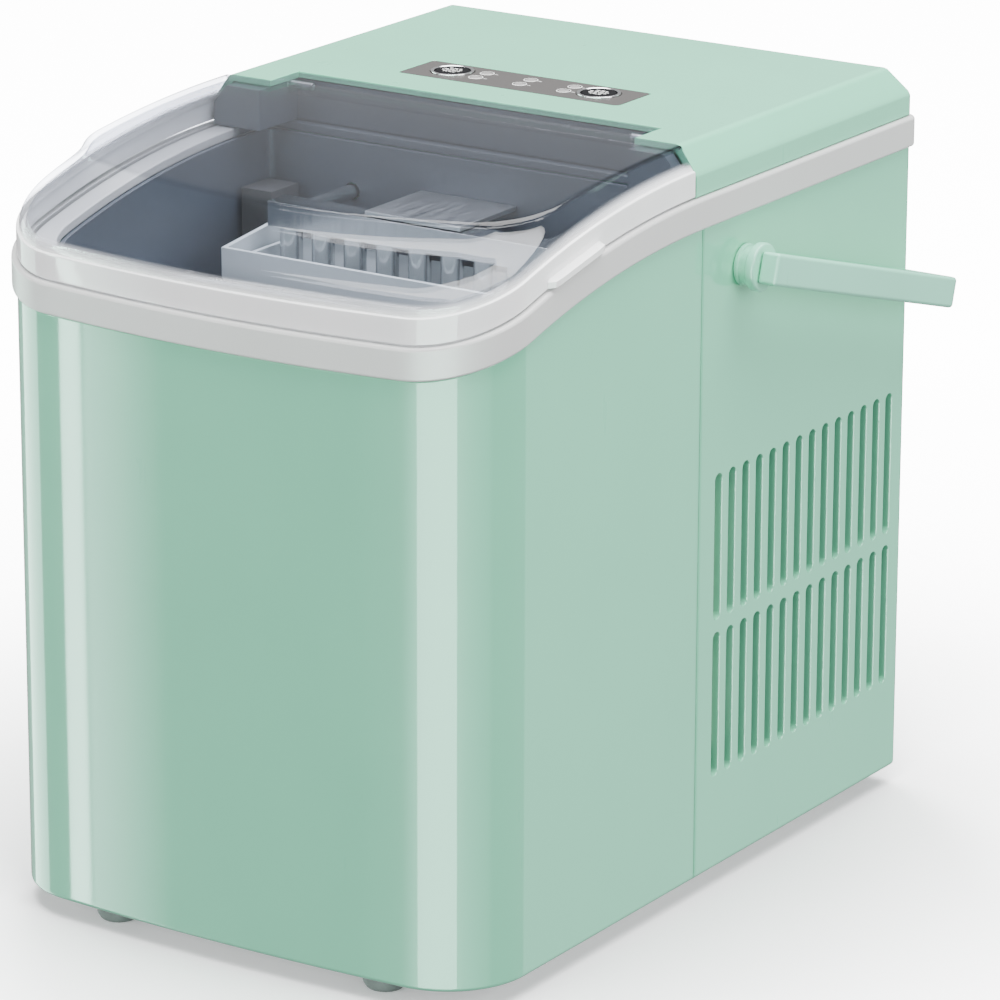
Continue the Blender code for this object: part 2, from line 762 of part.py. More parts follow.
def make_basket(plastic):
    origin = (0.0, sum(BASKET_Y) / 2, BASKET_Z[0])
    x, (y0, y1), (z0, z1) = BASKET_X, BASKET_Y, BASKET_Z
    taper = 2.0
    loops = []
    for inset, z in ((taper, z0), (0.0, z1 - 4), (-2.0, z1 - 4), (-2.0, z1)):
        loops.append(level(rounded(-x + inset, x - inset, y0 + inset, y1 - inset, BASKET_CORNER), z))
    basket = stack("ice_basket", loops, plastic, origin)
    hollow = []
    for inset, z in ((taper + BASKET_WALL, z0 + BASKET_WALL), (BASKET_WALL, z1 + 5)):
        hollow.append(level(rounded(-x + inset, x - inset, y0 + inset, y1 - inset, BASKET_CORNER), z))
    bm = bmesh.new()
    half = BASKET_SLOT_W / 2
    for column in range(-4, 5):
        middle = column * 16.0
        add_box(bm, (middle - half, y0 - 9, z0 + 16), (middle + half, y1 + 9, z0 + 74))
        add_box(bm, (middle - half, y0 + 13, z0 - 5), (middle + half, y1 - 13, z0 + 5))
    for row in (-1, 0, 1):
        middle = (y0 + y1) / 2 + row * 15.0
        add_box(bm, (-x - 9, middle - half, z0 + 16.5), (x + 9, middle + half, z0 + 73.5))
    cut(basket, stack("basket_hollow", hollow), solid("basket_slots", bm, None))


# ---------------------------------------------------------------- ice making


def make_evaporator(plated, steel):
    half = (FINGERS - 1) / 2 * FINGER_PITCH + 7
    head = box("evaporator", (-half, FINGER_Y - 6, BAR_Z[0]), (half, FINGER_Y + 6, BAR_Z[1]), plated)
    bm = bmesh.new()
    for finger in range(FINGERS):
        x = (finger - (FINGERS - 1) / 2) * FINGER_PITCH
        r = FINGER_RADIUS
        profile = [
            (FINGER_TIP, r * 0.45), (FINGER_TIP + 1.0, r * 0.8), (FINGER_TIP + 3.5, r),
            (BAR_Z[0] + 2, r),
        ]
        add_stack(bm, rod_rings("Z", (x, FINGER_Y, 0), profile, 12))
    for side in (-1, 1):
        add_stack(bm, rod_rings("Y", (side * 55, 0, 249), [(FINGER_Y + 2, 3.0), (30, 3.0)], 12))
    fuse(head, solid("evaporator_fingers", bm, None))
    box("evaporator_bracket", (-22, FINGER_Y - 5, BAR_Z[1] + GAP), (22, 7.6, BAR_Z[1] + 2.3), steel)


def make_tray(plastic, steel, dark):
    """Water tray that tips about a shaft at its back, and the shovel that swings the other way."""
    axis = (0.0, TRAY_AXIS_Y, TRAY_AXIS_Z)
    section = [(-44, 232), (-40.5, 206), (-14.5, 206), (-5, 229), (-8, 232)]
    tray = prism("water_tray", "X", section, -TRAY_HALF_W, TRAY_HALF_W, plastic, axis)
    hollow = [(-42, 236), (-38.7, 208), (-15.9, 208), (-7.3, 228.9), (-9.5, 236)]
    inside = TRAY_HALF_W - TRAY_WALL
    cut(tray, prism("tray_hollow", "X", hollow, -inside, inside, None, axis))
    bore = SHAFT_RADIUS + GAP
    blade = box("ice_shovel", (-76, -50, 214), (76, -48, 236), plastic, axis)
    for side, word in ((-1, "left"), (1, "right")):
        x0, x1 = sorted((side * inside, side * TRAY_HALF_W))
        ear = [(-10, 224), (-5, 228), (2, 231), (4, 236), (1, 241), (-5, 241), (-9, 237), (-16, 230)]
        fuse(tray, prism(f"tray_ear_{word}", "X", ear, x0, x1, None, axis))
        x0, x1 = sorted((side * 74.0, side * 76.0))
        arm = [(-50, 224), (-44, 224), (2, 231), (3, 240), (-4, 241), (-50, 236)]
        fuse(blade, prism(f"shovel_arm_{word}", "X", arm, x0, x1, None, axis))
    across = [(-80, bore), (80, bore)]
    cut(tray, rod("tray_bore", "X", axis, across, count=12, origin=axis))
    cut(blade, rod("shovel_bore", "X", axis, across, count=12, origin=axis))
    rod("tray_shaft", "X", axis, [(-77.5, SHAFT_RADIUS), (81, SHAFT_RADIUS)], steel, 12, axis)
    motor = box("tray_motor", (-92.5, -14, 222), (-78, 4, 250), dark)
    cut(motor, rod("motor_bore", "X", axis, [(-79.5, bore), (-70, bore)], count=12))
    bearing = box("tray_bearing", (79, -10, 228), (92.5, 4, 244), plastic)
    cut(bearing, rod("bearing_bore", "X", axis, [(70, bore), (82, bore)], count=12))


def make_water_parts(dark, plastic):
    floor = LINER_BOTTOM + LINER_WALL + GAP
    rod("water_pump", "Z", (56, -18, 0),
        [(floor, 17), (floor + 22, 17), (floor + 24, 14), (floor + 38, 14)], dark, 20)
    pipe("pump_hose", [(56, -18, 101), (56, -18, 120), (66, -12, 150), (82, -8, 185), (84, -8, 215)],
         3.5, plastic)
    box("water_level_sensor", (-18, 1.6, 70), (-6, 4.6, 118), dark)
    for side, word in ((-1, "left"), (1, "right")):
        x0, x1 = sorted((side * 90.0, side * 93.7))
        box(f"ice_sensor_{word}", (x0, -58, 214), (x1, -48, 224), dark)


# ---------------------------------------------------------------- cooling and electrics


def make_fan(dark):
    """Hub with slanted blades, each drawn out of one face of the hub."""
    axis = Vector((FAN_X, FAN_Y, FAN_Z))
    count = 3 * FAN_BLADES
    bm = bmesh.new()
    profile = [(-7.0, 12.0), (-5.0, 14.0), (5.0, 14.0), (6.0, 13.0)]
    rings = [[bm.verts.new(p) for p in ring] for ring in rod_rings("X", axis, profile, count)]
    bm.faces.new(rings[0][::-1])
    bm.faces.new(rings[-1])
    for low, high in zip(rings, rings[1:]):
        for i in range(count):
            j = (i + 1) % count
            root = (low[i], low[j], high[j], high[i])
            if low is not rings[1] or i % 3:
                bm.faces.new(root)
                continue
            turn = math.tau * (i + 0.5) / count
            tip = []
            for along, aside in ((-4.8, -12.0), (2.6, 12.0), (4.4, 12.0), (-3.0, -12.0)):
                y = FAN_RADIUS * math.cos(turn) - aside * math.sin(turn)
                z = FAN_RADIUS * math.sin(turn) + aside * math.cos(turn)
                tip.append(bm.verts.new(axis + Vector((along, y, z))))
            for k in range(4):
                n = (k + 1) % 4
                bm.faces.new((root[k], root[n], tip[n], tip[k]))
            bm.faces.new(tip)
    solid("fan", bm, dark, axis)


def make_cooling(black, aluminium, copper, dark):
    profile = [
        (5.0, 30), (8.0, 42), (16.0, COMPRESSOR_RADIUS), (104.0, COMPRESSOR_RADIUS),
        (122.0, 38), (131.0, 22), (133.0, 8),
    ]
    rod("compressor", "Z", (COMPRESSOR_X, COMPRESSOR_Y, 0), profile, black, 28)
    fins = 18
    pitch = 6.2
    start = FAN_Y - fins * pitch / 2
    outline = [(start, -88.0)]
    for fin in range(fins):
        y = start + fin * pitch
        outline += [(y, -104.0), (y + 1.6, -104.0), (y + 1.6, -91.0), (y + pitch, -91.0)]
    outline[-1] = (outline[-2][0], -88.0)
    outline = [(x, y) for y, x in outline]
    stack("condenser", [level(outline, 40.0), level(outline, 160.0)], aluminium)
    shroud = box("fan_shroud", (-86, FAN_Y - 48, FAN_Z - 48), (-66, FAN_Y + 48, FAN_Z + 48), dark)
    reach = FAN_RADIUS + 4.5
    cut(shroud, rod("shroud_cutter", "X", (0, FAN_Y, FAN_Z), [(-90, reach), (-60, reach)], count=28))
    make_fan(dark)
    rod("fan_motor", "X", (0, FAN_Y, FAN_Z), [(FAN_X + 6 + GAP, 14), (-48, 15), (-44, 8)], dark, 20)
    motor_arm = box("fan_bracket", (-65.7, FAN_Y - 48, FAN_Z - 5), (-63.5, FAN_Y + 48, FAN_Z + 5), black)
    fuse(motor_arm, rod("bracket_ring", "X", (0, FAN_Y, FAN_Z), [(-65.7, 19), (-63.5, 19)], count=24))
    cut(motor_arm, rod("bracket_cutter", "X", (0, FAN_Y, FAN_Z), [(-70, 15.6), (-60, 15.6)], count=20))
    rod("filter_dryer", "Z", (-20, 135, 0),
        [(96, 3), (102, 8), (148, 8), (154, 3)], copper, 16)
    pipe("discharge_line",
         [(COMPRESSOR_X, COMPRESSOR_Y, 134), (36, 88, 165), (-10, 92, 178), (-60, 100, 178),
          (-90, 112, 176), (-96, 118, 163)], 2.5, copper)
    pipe("suction_line",
         [(-55, 31, 249), (-50, 42, 246), (-34, 50, 225), (-30, 58, 180), (-22, 66, 120), (-18, 60, 60),
          (-9, 62, 24), (-3.5, 66, 20)], 3.0, copper)
    valve = box("hot_gas_valve", (44, 130, 168), (70, 150, 192), black)
    fuse(valve, rod("valve_stem", "Z", (57, 140, 0), [(156, 4), (170, 4)], count=12))


def make_electrics(board, dark, steel, black):
    power = box("power_board", (-14, 24.0, 158), (96, 25.6, 228), board)
    fuse(power, boxes("power_components", [
        ((0, 25, 168), (26, 44, 194)), ((36, 25, 170), (52, 38, 186)),
        ((60, 25, 166), (88, 40, 178)), ((10, 25, 204), (90, 34, 216)),
    ]))
    control = box("control_board", (-46, 34, COVER_TOP - 9.6), (46, 59, COVER_TOP - 8.2), board)
    fuse(control, boxes("control_components", [
        ((-38, 43, COVER_TOP - 8.4), (-30, 51, COVER_TOP - 6.0)),
        ((30, 43, COVER_TOP - 8.4), (38, 51, COVER_TOP - 6.0)),
        ((-24, 36, COVER_TOP - 13.0), (-4, 42, COVER_TOP - 9.4)),
    ]))
    back = BACK_Y + 2.2
    inlet = box("power_inlet", (INLET_X - 11.7, BACK_Y - 16, INLET_Z - 8.7),
                (INLET_X + 11.7, back, INLET_Z + 8.7), black)
    fuse(inlet, box("inlet_flange", (INLET_X - 15, BACK_Y + GAP, INLET_Z - 12),
                    (INLET_X + 15, back, INLET_Z + 12)))
    cut(inlet, box("inlet_socket", (INLET_X - 9.5, BACK_Y - 12, INLET_Z - 6.5),
                   (INLET_X + 9.5, BACK_Y + 9, INLET_Z + 6.5)))
    for row in SCREW_ROWS:
        for side, word in ((-1, "left"), (1, "right")):
            height = "lower" if row < 100 else "upper"
            rod(f"back_screw_{height}_{word}", "Y", (side * SCREW_X, 0, row),
                [(BACK_Y + GAP, 3.6), (BACK_Y + 1.6, 3.4), (BACK_Y + 2.3, 2.2)], steel, 16)
    box("bulkhead", (-104, 18.2, 4.0), (104, 19.8, 216.0), steel)


def make_drain(dark, rubber):
    spout = rod("drain_spout", "Y", (DRAIN_X, 0, DRAIN_Z),
                [(BACK_Y - 12, 6.0), (BACK_Y + 0.3, 6.0), (BACK_Y + 0.4, 8.5), (BACK_Y + 2.0, 8.5)],
                dark, 20)
    cut(spout, rod("spout_bore", "Y", (DRAIN_X, 0, DRAIN_Z), [(BACK_Y - 20, 4.2), (BACK_Y + 9, 4.2)],
                   count=20))
    origin = (DRAIN_X, BACK_Y + 2.0, DRAIN_Z)
    rod("drain_cap", "Y", (DRAIN_X, 0, DRAIN_Z),
        [(BACK_Y - 8, 3.2), (BACK_Y - 6, 3.8), (BACK_Y + 2.3, 3.8), (BACK_Y + 2.4, 8.0),
         (BACK_Y + 4.6, 8.0), (BACK_Y + 5.2, 7.2)], rubber, 20, origin)


def build():
    clear_scene()
    paint = finish("mint_paint", (0.33, 0.56, 0.44), 0.2)
    light_grey = finish("light_grey_plastic", (0.62, 0.62, 0.61), 0.35)
    slate = finish("slate_plastic", (0.10, 0.12, 0.15), 0.4)
    clear = finish("clear_plastic", (0.86, 0.87, 0.9), 0.05, alpha=0.3)
    overlay = finish("panel_overlay", (0.20, 0.19, 0.18), 0.4)
    black = finish("black_plastic", (0.02, 0.02, 0.022), 0.35)
    dark = finish("dark_grey_plastic", (0.09, 0.09, 0.095), 0.45)
    lens = finish("lens_plastic", (0.72, 0.74, 0.74), 0.2)
    frosted = finish("frosted_plastic", (0.70, 0.74, 0.76), 0.45)
    rubber = finish("rubber", (0.05, 0.05, 0.052), 0.7)
    foam = finish("foam", (0.75, 0.72, 0.6), 0.9)
    chrome = finish("chrome", (0.75, 0.75, 0.76), 0.12, 1.0)
    steel = finish("zinc_steel", (0.6, 0.6, 0.62), 0.35, 1.0)
    aluminium = finish("aluminium", (0.72, 0.73, 0.74), 0.35, 1.0)
    copper = finish("copper", (0.72, 0.36, 0.2), 0.3, 1.0)
    board = finish("circuit_board", (0.02, 0.17, 0.07), 0.4)

    make_shells(paint)
    make_base(light_grey, rubber)
    make_band(light_grey)
    make_cover(paint)
    make_panel(overlay, black, chrome, lens)
    make_lid(clear, steel)
    make_handle(paint, steel)
    make_rim(light_grey)
    make_liner(slate)
    make_cowl(slate)
    make_insulation(foam)
    make_basket(frosted)
    make_evaporator(chrome, steel)
    make_tray(frosted, steel, dark)
    make_water_parts(dark, frosted)
    make_cooling(black, aluminium, copper, dark)
    make_electrics(board, dark, steel, black)
    make_drain(dark, rubber)


build()
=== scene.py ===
import json
import math

import bmesh
import bpy
from mathutils import Matrix, Vector

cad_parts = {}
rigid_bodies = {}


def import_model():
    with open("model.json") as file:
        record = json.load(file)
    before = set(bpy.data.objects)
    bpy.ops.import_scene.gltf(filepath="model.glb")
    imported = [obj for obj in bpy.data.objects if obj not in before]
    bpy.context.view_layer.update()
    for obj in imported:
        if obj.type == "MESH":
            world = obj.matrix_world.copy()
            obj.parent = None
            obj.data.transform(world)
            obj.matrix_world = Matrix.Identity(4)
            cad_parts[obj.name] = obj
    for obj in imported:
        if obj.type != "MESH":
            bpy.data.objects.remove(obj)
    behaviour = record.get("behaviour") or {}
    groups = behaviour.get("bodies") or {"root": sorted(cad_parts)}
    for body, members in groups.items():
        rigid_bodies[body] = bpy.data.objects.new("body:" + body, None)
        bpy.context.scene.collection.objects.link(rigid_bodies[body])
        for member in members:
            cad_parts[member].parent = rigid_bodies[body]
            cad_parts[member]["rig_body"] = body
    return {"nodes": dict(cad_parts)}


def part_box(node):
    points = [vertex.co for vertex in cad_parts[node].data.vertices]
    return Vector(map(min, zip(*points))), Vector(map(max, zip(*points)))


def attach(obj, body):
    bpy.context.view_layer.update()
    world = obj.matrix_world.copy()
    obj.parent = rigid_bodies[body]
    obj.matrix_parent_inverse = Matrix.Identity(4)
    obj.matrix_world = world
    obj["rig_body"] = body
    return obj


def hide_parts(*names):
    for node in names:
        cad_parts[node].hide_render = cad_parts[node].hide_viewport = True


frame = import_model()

for leftOver in ("Cube", "Light", "Camera"):
    if leftOver in bpy.data.objects:
        bpy.data.objects.remove(bpy.data.objects[leftOver])
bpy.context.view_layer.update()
print("packed frame loaded:", len(frame["nodes"]), "nodes")

# Pieces are laid out in millimetres from the middle of the body's underside, front towards -y.
shellLow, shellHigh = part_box("front_shell")[0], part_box("rear_shell")[1]
bodyOrigin = Vector((0, (shellLow.y + shellHigh.y) / 2, shellLow.z))


def at(x, y, z):
    return Vector((x, y, z)) / 1000 + bodyOrigin


def feed(tree, socket, value):
    if isinstance(value, bpy.types.NodeSocket):
        tree.links.new(value, socket)
    else:
        socket.default_value = value


def node(tree, kind, inputs=(), **settings):
    made = tree.nodes.new(kind)
    for name, value in settings.items():
        setattr(made, name, value)
    for name, value in dict(inputs).items():
        feed(tree, made.inputs[name], value)
    return made


def stretched(tree, scale):
    # object coordinates, scaled per axis
    where = node(tree, "ShaderNodeTexCoord").outputs["Object"]
    return node(tree, "ShaderNodeMapping", {"Vector": where, "Scale": scale}).outputs["Vector"]


def noise(tree, scale, detail=2.0, stretch=(1, 1, 1), rough=0.5):
    vector = stretched(tree, stretch)
    inputs = {"Vector": vector, "Scale": scale, "Detail": detail, "Roughness": rough}
    return node(tree, "ShaderNodeTexNoise", inputs).outputs["Fac"]


def spread(tree, value, low, high, start=0.3, end=0.7):
    inputs = {"Value": value, "From Min": start, "From Max": end, "To Min": low, "To Max": high}
    return node(tree, "ShaderNodeMapRange", inputs).outputs["Result"]


def blendOf(tree, value, first, second, start=0.3, end=0.7):
    ramp = node(tree, "ShaderNodeValToRGB", {"Fac": value})
    for stop, place, colour in zip(ramp.color_ramp.elements, (start, end), (first, second)):
        stop.position = place
        stop.color = (*colour, 1)
    return ramp.outputs["Color"]


def bump(tree, height, depth, strength=1.0, normal=None):
    inputs = {"Height": height, "Distance": depth, "Strength": strength}
    if normal:
        inputs["Normal"] = normal
    return node(tree, "ShaderNodeBump", inputs).outputs["Normal"]


def newFinish(name):
    made = bpy.data.materials.new(name)
    made.use_nodes = True
    return made, made.node_tree, made.node_tree.nodes["Principled BSDF"]


def tinted(colour, share):
    return tuple(min(1.0, c * share) for c in colour)


finishes = {
    "mint": dict(colour=(0.190, 0.620, 0.400), roughness=0.3, peel=420, peelDepth=0.0000012,
                 mottle=0.018, coat=1.0, coatRoughness=0.04, specular=0.12),
    "handleMint": dict(colour=(0.275, 0.72, 0.52), roughness=0.3, peel=520, peelDepth=0.000003,
                       mottle=0.03, coat=0.7, coatRoughness=0.12, specular=0.2),
    "bandGrey": dict(colour=(0.63, 0.63, 0.625), roughness=0.38, peel=900, peelDepth=0.000004,
                     mottle=0.02, coat=0.2, coatRoughness=0.2),
    "slate": dict(colour=(0.085, 0.102, 0.128), roughness=0.34, peel=1400, peelDepth=0.00002,
                  mottle=0.06, coat=0.1, coatRoughness=0.2),
    "buttonBlack": dict(colour=(0.008, 0.008, 0.009), roughness=0.5, peel=1600, peelDepth=0.00001,
                        mottle=0.1, coat=0.0, coatRoughness=0.3, specular=0.04),
    "black": dict(colour=(0.016, 0.016, 0.018), roughness=0.3, peel=1600, peelDepth=0.00002,
                  mottle=0.1, coat=0.0, coatRoughness=0.15, specular=0.15),
    "darkGrey": dict(colour=(0.075, 0.076, 0.08), roughness=0.48, peel=2200, peelDepth=0.00003,
                     mottle=0.08, coat=0.0, coatRoughness=0.3),
    "frosted": dict(colour=(0.62, 0.67, 0.70), roughness=0.42, peel=1800, peelDepth=0.00002,
                    mottle=0.05, coat=0.0, coatRoughness=0.3),
    "lens": dict(colour=(0.30, 0.29, 0.285), roughness=0.25, peel=1500, peelDepth=0.00001,
                 mottle=0.05, coat=0.2, coatRoughness=0.1),
    "print": dict(colour=(0.78, 0.78, 0.77), roughness=0.5, peel=3000, peelDepth=0.00001,
                  mottle=0.05, coat=0.0, coatRoughness=0.3),
    "rubber": dict(colour=(0.045, 0.046, 0.048), roughness=0.72, peel=2600, peelDepth=0.00005,
                   mottle=0.18, coat=0.0, coatRoughness=0.3),
}


def moulded(name, colour, roughness, peel, peelDepth, mottle, coat, coatRoughness, specular=0.5):
    # moulded plastic: slow colour drift, orange peel, a few faint rubbed streaks
    made, tree, shader = newFinish(name)
    drift = noise(tree, 16, 3)
    feed(tree, shader.inputs["Base Color"],
         blendOf(tree, drift, tinted(colour, 1 - mottle), tinted(colour, 1 + mottle)))
    rubbed = noise(tree, 60, 4, (1, 1, 0.15), 0.7)
    feed(tree, shader.inputs["Roughness"], spread(tree, rubbed, roughness * 0.9, roughness * 1.15))
    feed(tree, shader.inputs["Normal"], bump(tree, noise(tree, peel, 2), peelDepth))
    shader.inputs["Coat Weight"].default_value = coat
    shader.inputs["Coat Roughness"].default_value = coatRoughness
    shader.inputs["IOR"].default_value = 1.49
    shader.inputs["Specular IOR Level"].default_value = specular
    return made


def metal(name, colour, roughness, grain, depth, scale=300):
    # grain stretches the brushing; (1, 1, 1) gives a plain mottled surface
    made, tree, shader = newFinish(name)
    streak = noise(tree, scale, 4, grain, 0.65)
    feed(tree, shader.inputs["Base Color"],
         blendOf(tree, noise(tree, 35, 3), tinted(colour, 0.88), tinted(colour, 1.06)))
    feed(tree, shader.inputs["Roughness"], spread(tree, streak, roughness * 0.75, roughness * 1.3))
    feed(tree, shader.inputs["Normal"], bump(tree, streak, depth))
    shader.inputs["Metallic"].default_value = 1.0
    return made


def clearFinish(name, tint, edgeTint, milk, roughness):
    # clear tinted plastic, milky at the lip, with a painted dark reflection along its ridges (both are
    # vertex shares)
    made, tree, shader = newFinish(name)
    # the same share of reflection on the way in and out, as nothing is bent here
    grazing = node(tree, "ShaderNodeLayerWeight", {"Blend": 0.5}).outputs["Facing"]
    steep = node(tree, "ShaderNodeMath", {0: grazing, 1: 5.0}, operation="POWER").outputs["Value"]
    fresnel = spread(tree, steep, 0.04, 1.0, 0, 1)
    facing = node(tree, "ShaderNodeLayerWeight", {"Blend": 0.32}).outputs["Facing"]
    lip = node(tree, "ShaderNodeAttribute", attribute_name="lipShare").outputs["Fac"]
    ridge = node(tree, "ShaderNodeAttribute", attribute_name="ridgePaintedReflection").outputs["Fac"]
    haze = noise(tree, 38, 3, (1, 1, 0.4))
    edge = blendOf(tree, facing, tint, edgeTint, 0.25, 0.95)
    # painted reflection: the see-through colour is darkened almost to black along the ridges
    dark = node(tree, "ShaderNodeMix", {"Factor": ridge, "B": (0.05, 0.055, 0.075, 1)},
                data_type="RGBA")
    tree.links.new(edge, dark.inputs["A"])
    clear = node(tree, "ShaderNodeBsdfTransparent", {"Color": dark.outputs["Result"]})
    feed(tree, shader.inputs["Base Color"], blendOf(tree, haze, milk, tinted(milk, 1.03)))
    feed(tree, shader.inputs["Roughness"], spread(tree, haze, roughness, roughness * 1.6))
    feed(tree, shader.inputs["Normal"], bump(tree, noise(tree, 60, 1), 0.000003))
    shader.inputs["IOR"].default_value = 1.49
    gloss = node(tree, "ShaderNodeBsdfGlossy", {"Roughness": roughness})
    skin = node(tree, "ShaderNodeMixShader", {"Fac": fresnel})
    tree.links.new(clear.outputs["BSDF"], skin.inputs[1])
    tree.links.new(gloss.outputs["BSDF"], skin.inputs[2])
    share = node(tree, "ShaderNodeMath", {0: lip, 1: spread(tree, haze, 0.93, 1.0)},
                 operation="MULTIPLY")
    both = node(tree, "ShaderNodeMixShader", {"Fac": share.outputs["Value"]})
    tree.links.new(skin.outputs["Shader"], both.inputs[1])
    tree.links.new(shader.outputs["BSDF"], both.inputs[2])
    tree.links.new(both.outputs["Shader"], tree.nodes["Material Output"].inputs["Surface"])
    return made


def overlayFinish():
    # printed panel film: warm grey with a fine cross-brushed lay
    made, tree, shader = newFinish("panelFilm")
    lay = noise(tree, 500, 3, (12, 1, 1), 0.6)
    feed(tree, shader.inputs["Base Color"],
         blendOf(tree, lay, (0.060, 0.057, 0.055), (0.086, 0.082, 0.080)))
    feed(tree, shader.inputs["Roughness"], spread(tree, lay, 0.34, 0.46))
    feed(tree, shader.inputs["Normal"], bump(tree, lay, 0.000006))
    shader.inputs["Specular IOR Level"].default_value = 0.07
    return made


def rimWithPaintedShade():
    # light rim that turns slate behind the opening: painted shade at the back of the chamber
    made = moulded("rimGrey", **finishes["bandGrey"])
    tree, shader = made.node_tree, made.node_tree.nodes["Principled BSDF"]
    place = node(tree, "ShaderNodeTexCoord").outputs["Object"]
    along = node(tree, "ShaderNodeSeparateXYZ", {"Vector": place}).outputs["Y"]
    # painted shade: slate blended in from 14 mm to 8 mm ahead of the body's middle, slate behind that
    start = (at(0, -14, 0).y, at(0, -8, 0).y)
    paintedShade = node(tree, "ShaderNodeMix", {"Factor": spread(tree, along, 0, 1, *start),
                                         "B": (*finishes["slate"]["colour"], 1)}, data_type="RGBA")
    tree.links.new(shader.inputs["Base Color"].links[0].from_socket, paintedShade.inputs["A"])
    feed(tree, shader.inputs["Base Color"], paintedShade.outputs["Result"])
    return made


def foamFinish():
    made, tree, shader = newFinish("beadFoam")
    beads = node(tree, "ShaderNodeTexVoronoi", {"Vector": stretched(tree, (1, 1, 1)), "Scale": 260})
    feed(tree, shader.inputs["Base Color"],
         blendOf(tree, beads.outputs["Distance"], (0.80, 0.77, 0.66), (0.62, 0.58, 0.46), 0.2, 0.8))
    feed(tree, shader.inputs["Normal"], bump(tree, beads.outputs["Distance"], -0.0006))
    shader.inputs["Roughness"].default_value = 0.9
    return made


def boardFinish():
    # solder mask with copper runs showing through as lighter green
    made, tree, shader = newFinish("circuitBoard")
    runs = node(tree, "ShaderNodeTexBrick", {
        "Vector": stretched(tree, (1, 1, 1)), "Scale": 90.0, "Mortar Size": 0.04,
        "Color1": (0.012, 0.10, 0.045, 1), "Color2": (0.014, 0.13, 0.055, 1),
        "Mortar": (0.03, 0.24, 0.10, 1),
    })
    feed(tree, shader.inputs["Base Color"], runs.outputs["Color"])
    feed(tree, shader.inputs["Normal"], bump(tree, runs.outputs["Fac"], 0.00004))
    shader.inputs["Roughness"].default_value = 0.32
    return made


looks = {name: moulded(name, **values) for name, values in finishes.items()}
looks["clearLid"] = clearFinish("clearLid", (0.90, 0.91, 0.935), (0.62, 0.64, 0.70),
                                (0.98, 0.985, 0.99), 0.04)
looks["panelFilm"] = overlayFinish()
looks["rimGrey"] = rimWithPaintedShade()
looks["beadFoam"] = foamFinish()
looks["circuitBoard"] = boardFinish()
looks["brightRing"] = metal("brightRing", (0.80, 0.80, 0.81), 0.16, (1, 1, 1), 0.000002, 900)
looks["platedTin"] = metal("platedTin", (0.70, 0.71, 0.72), 0.2, (1, 1, 0.1), 0.000006, 500)
looks["zincSteel"] = metal("zincSteel", (0.55, 0.56, 0.58), 0.36, (1, 0.12, 1), 0.000012, 420)
looks["aluminium"] = metal("aluminium", (0.68, 0.69, 0.70), 0.36, (1, 1, 0.08), 0.00001, 700)
looks["copper"] = metal("copper", (0.70, 0.33, 0.18), 0.3, (1, 1, 1), 0.00001, 220)
print("finishes made:", len(looks))


def newObject(name, bm, look=None):
    bmesh.ops.recalc_face_normals(bm, faces=bm.faces)
    mesh = bpy.data.meshes.new(name)
    bm.to_mesh(mesh)
    bm.free()
    made = bpy.data.objects.new(name, mesh)
    bpy.context.scene.collection.objects.link(made)
    if look:
        mesh.materials.append(looks[look])
    return made


def makePlain(piece):
    # what the modifiers give becomes the mesh itself
    graph = bpy.context.evaluated_depsgraph_get()
    mesh = bpy.data.meshes.new_from_object(piece.evaluated_get(graph))
    piece.modifiers.clear()
    piece.data = mesh
    return piece


def finishPiece(piece, look, body, *stoodFor, sharp=34):
    piece.data.materials.clear()
    piece.data.materials.append(looks[look])
    piece.data.shade_smooth()
    piece.data.set_sharp_from_angle(angle=math.radians(sharp))
    # large faces keep their own direction beside a small rounding
    weighted = piece.modifiers.new("weighted", "WEIGHTED_NORMAL")
    weighted.weight, weighted.keep_sharp = 100, True
    makePlain(piece)
    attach(piece, body)
    if stoodFor:
        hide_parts(*stoodFor)
    return piece


def boolean(target, operation, *tools):
    for tool in tools:
        step = target.modifiers.new(tool.name, "BOOLEAN")
        step.operation, step.solver, step.object = operation, "EXACT", tool
    makePlain(target)
    for tool in tools:
        bpy.data.objects.remove(tool)
    return target


def soften(piece, width, segments=3, angle=35):
    step = piece.modifiers.new("soften", "BEVEL")
    step.width, step.segments = width / 1000, segments
    step.limit_method, step.angle_limit = "ANGLE", math.radians(angle)
    step.harden_normals = False
    return makePlain(piece)


def ringStack(bm, rings, capLow=True, capHigh=True):
    rows = [[bm.verts.new(at(*point)) for point in ring] for ring in rings]
    count = len(rows[0])
    for low, high in zip(rows, rows[1:]):
        for i in range(count):
            j = (i + 1) % count
            bm.faces.new((low[i], low[j], high[j], high[i]))
    if capLow:
        bm.faces.new(rows[0][::-1])
    if capHigh:
        bm.faces.new(rows[-1])
    return rows


def stacked(name, rings, look=None, **caps):
    bm = bmesh.new()
    ringStack(bm, rings, **caps)
    return newObject(name, bm, look)


def turned(name, axis, centre, profile, count=48):
    # profile is (distance along the axis, radius); the ends are closed flat
    rings = []
    for along, radius in profile:
        ring = []
        for k in range(count):
            a, b = radius * math.cos(math.tau * k / count), radius * math.sin(math.tau * k / count)
            point = {"X": (along, a, b), "Y": (b, along, a), "Z": (a, b, along)}[axis]
            ring.append(tuple(c + p for c, p in zip(centre, point)))
        rings.append(ring)
    return stacked(name, rings)


def block(name, low, high):
    corners = [(low[0], low[1]), (high[0], low[1]), (high[0], high[1]), (low[0], high[1])]
    return stacked(name, [[(x, y, z) for x, y in corners] for z in (low[2], high[2])])


def roundedBox(x0, x1, y0, y1, radius, steps=8):
    points = []
    for x, y, start in ((x1, y0, -90), (x1, y1, 0), (x0, y1, 90), (x0, y0, 180)):
        cx = x - math.copysign(radius, x - (x0 + x1) / 2)
        cy = y - math.copysign(radius, y - (y0 + y1) / 2)
        for k in range(steps + 1):
            turn = math.radians(start + 90 * k / steps)
            points.append((cx + radius * math.cos(turn), cy + radius * math.sin(turn)))
    return points


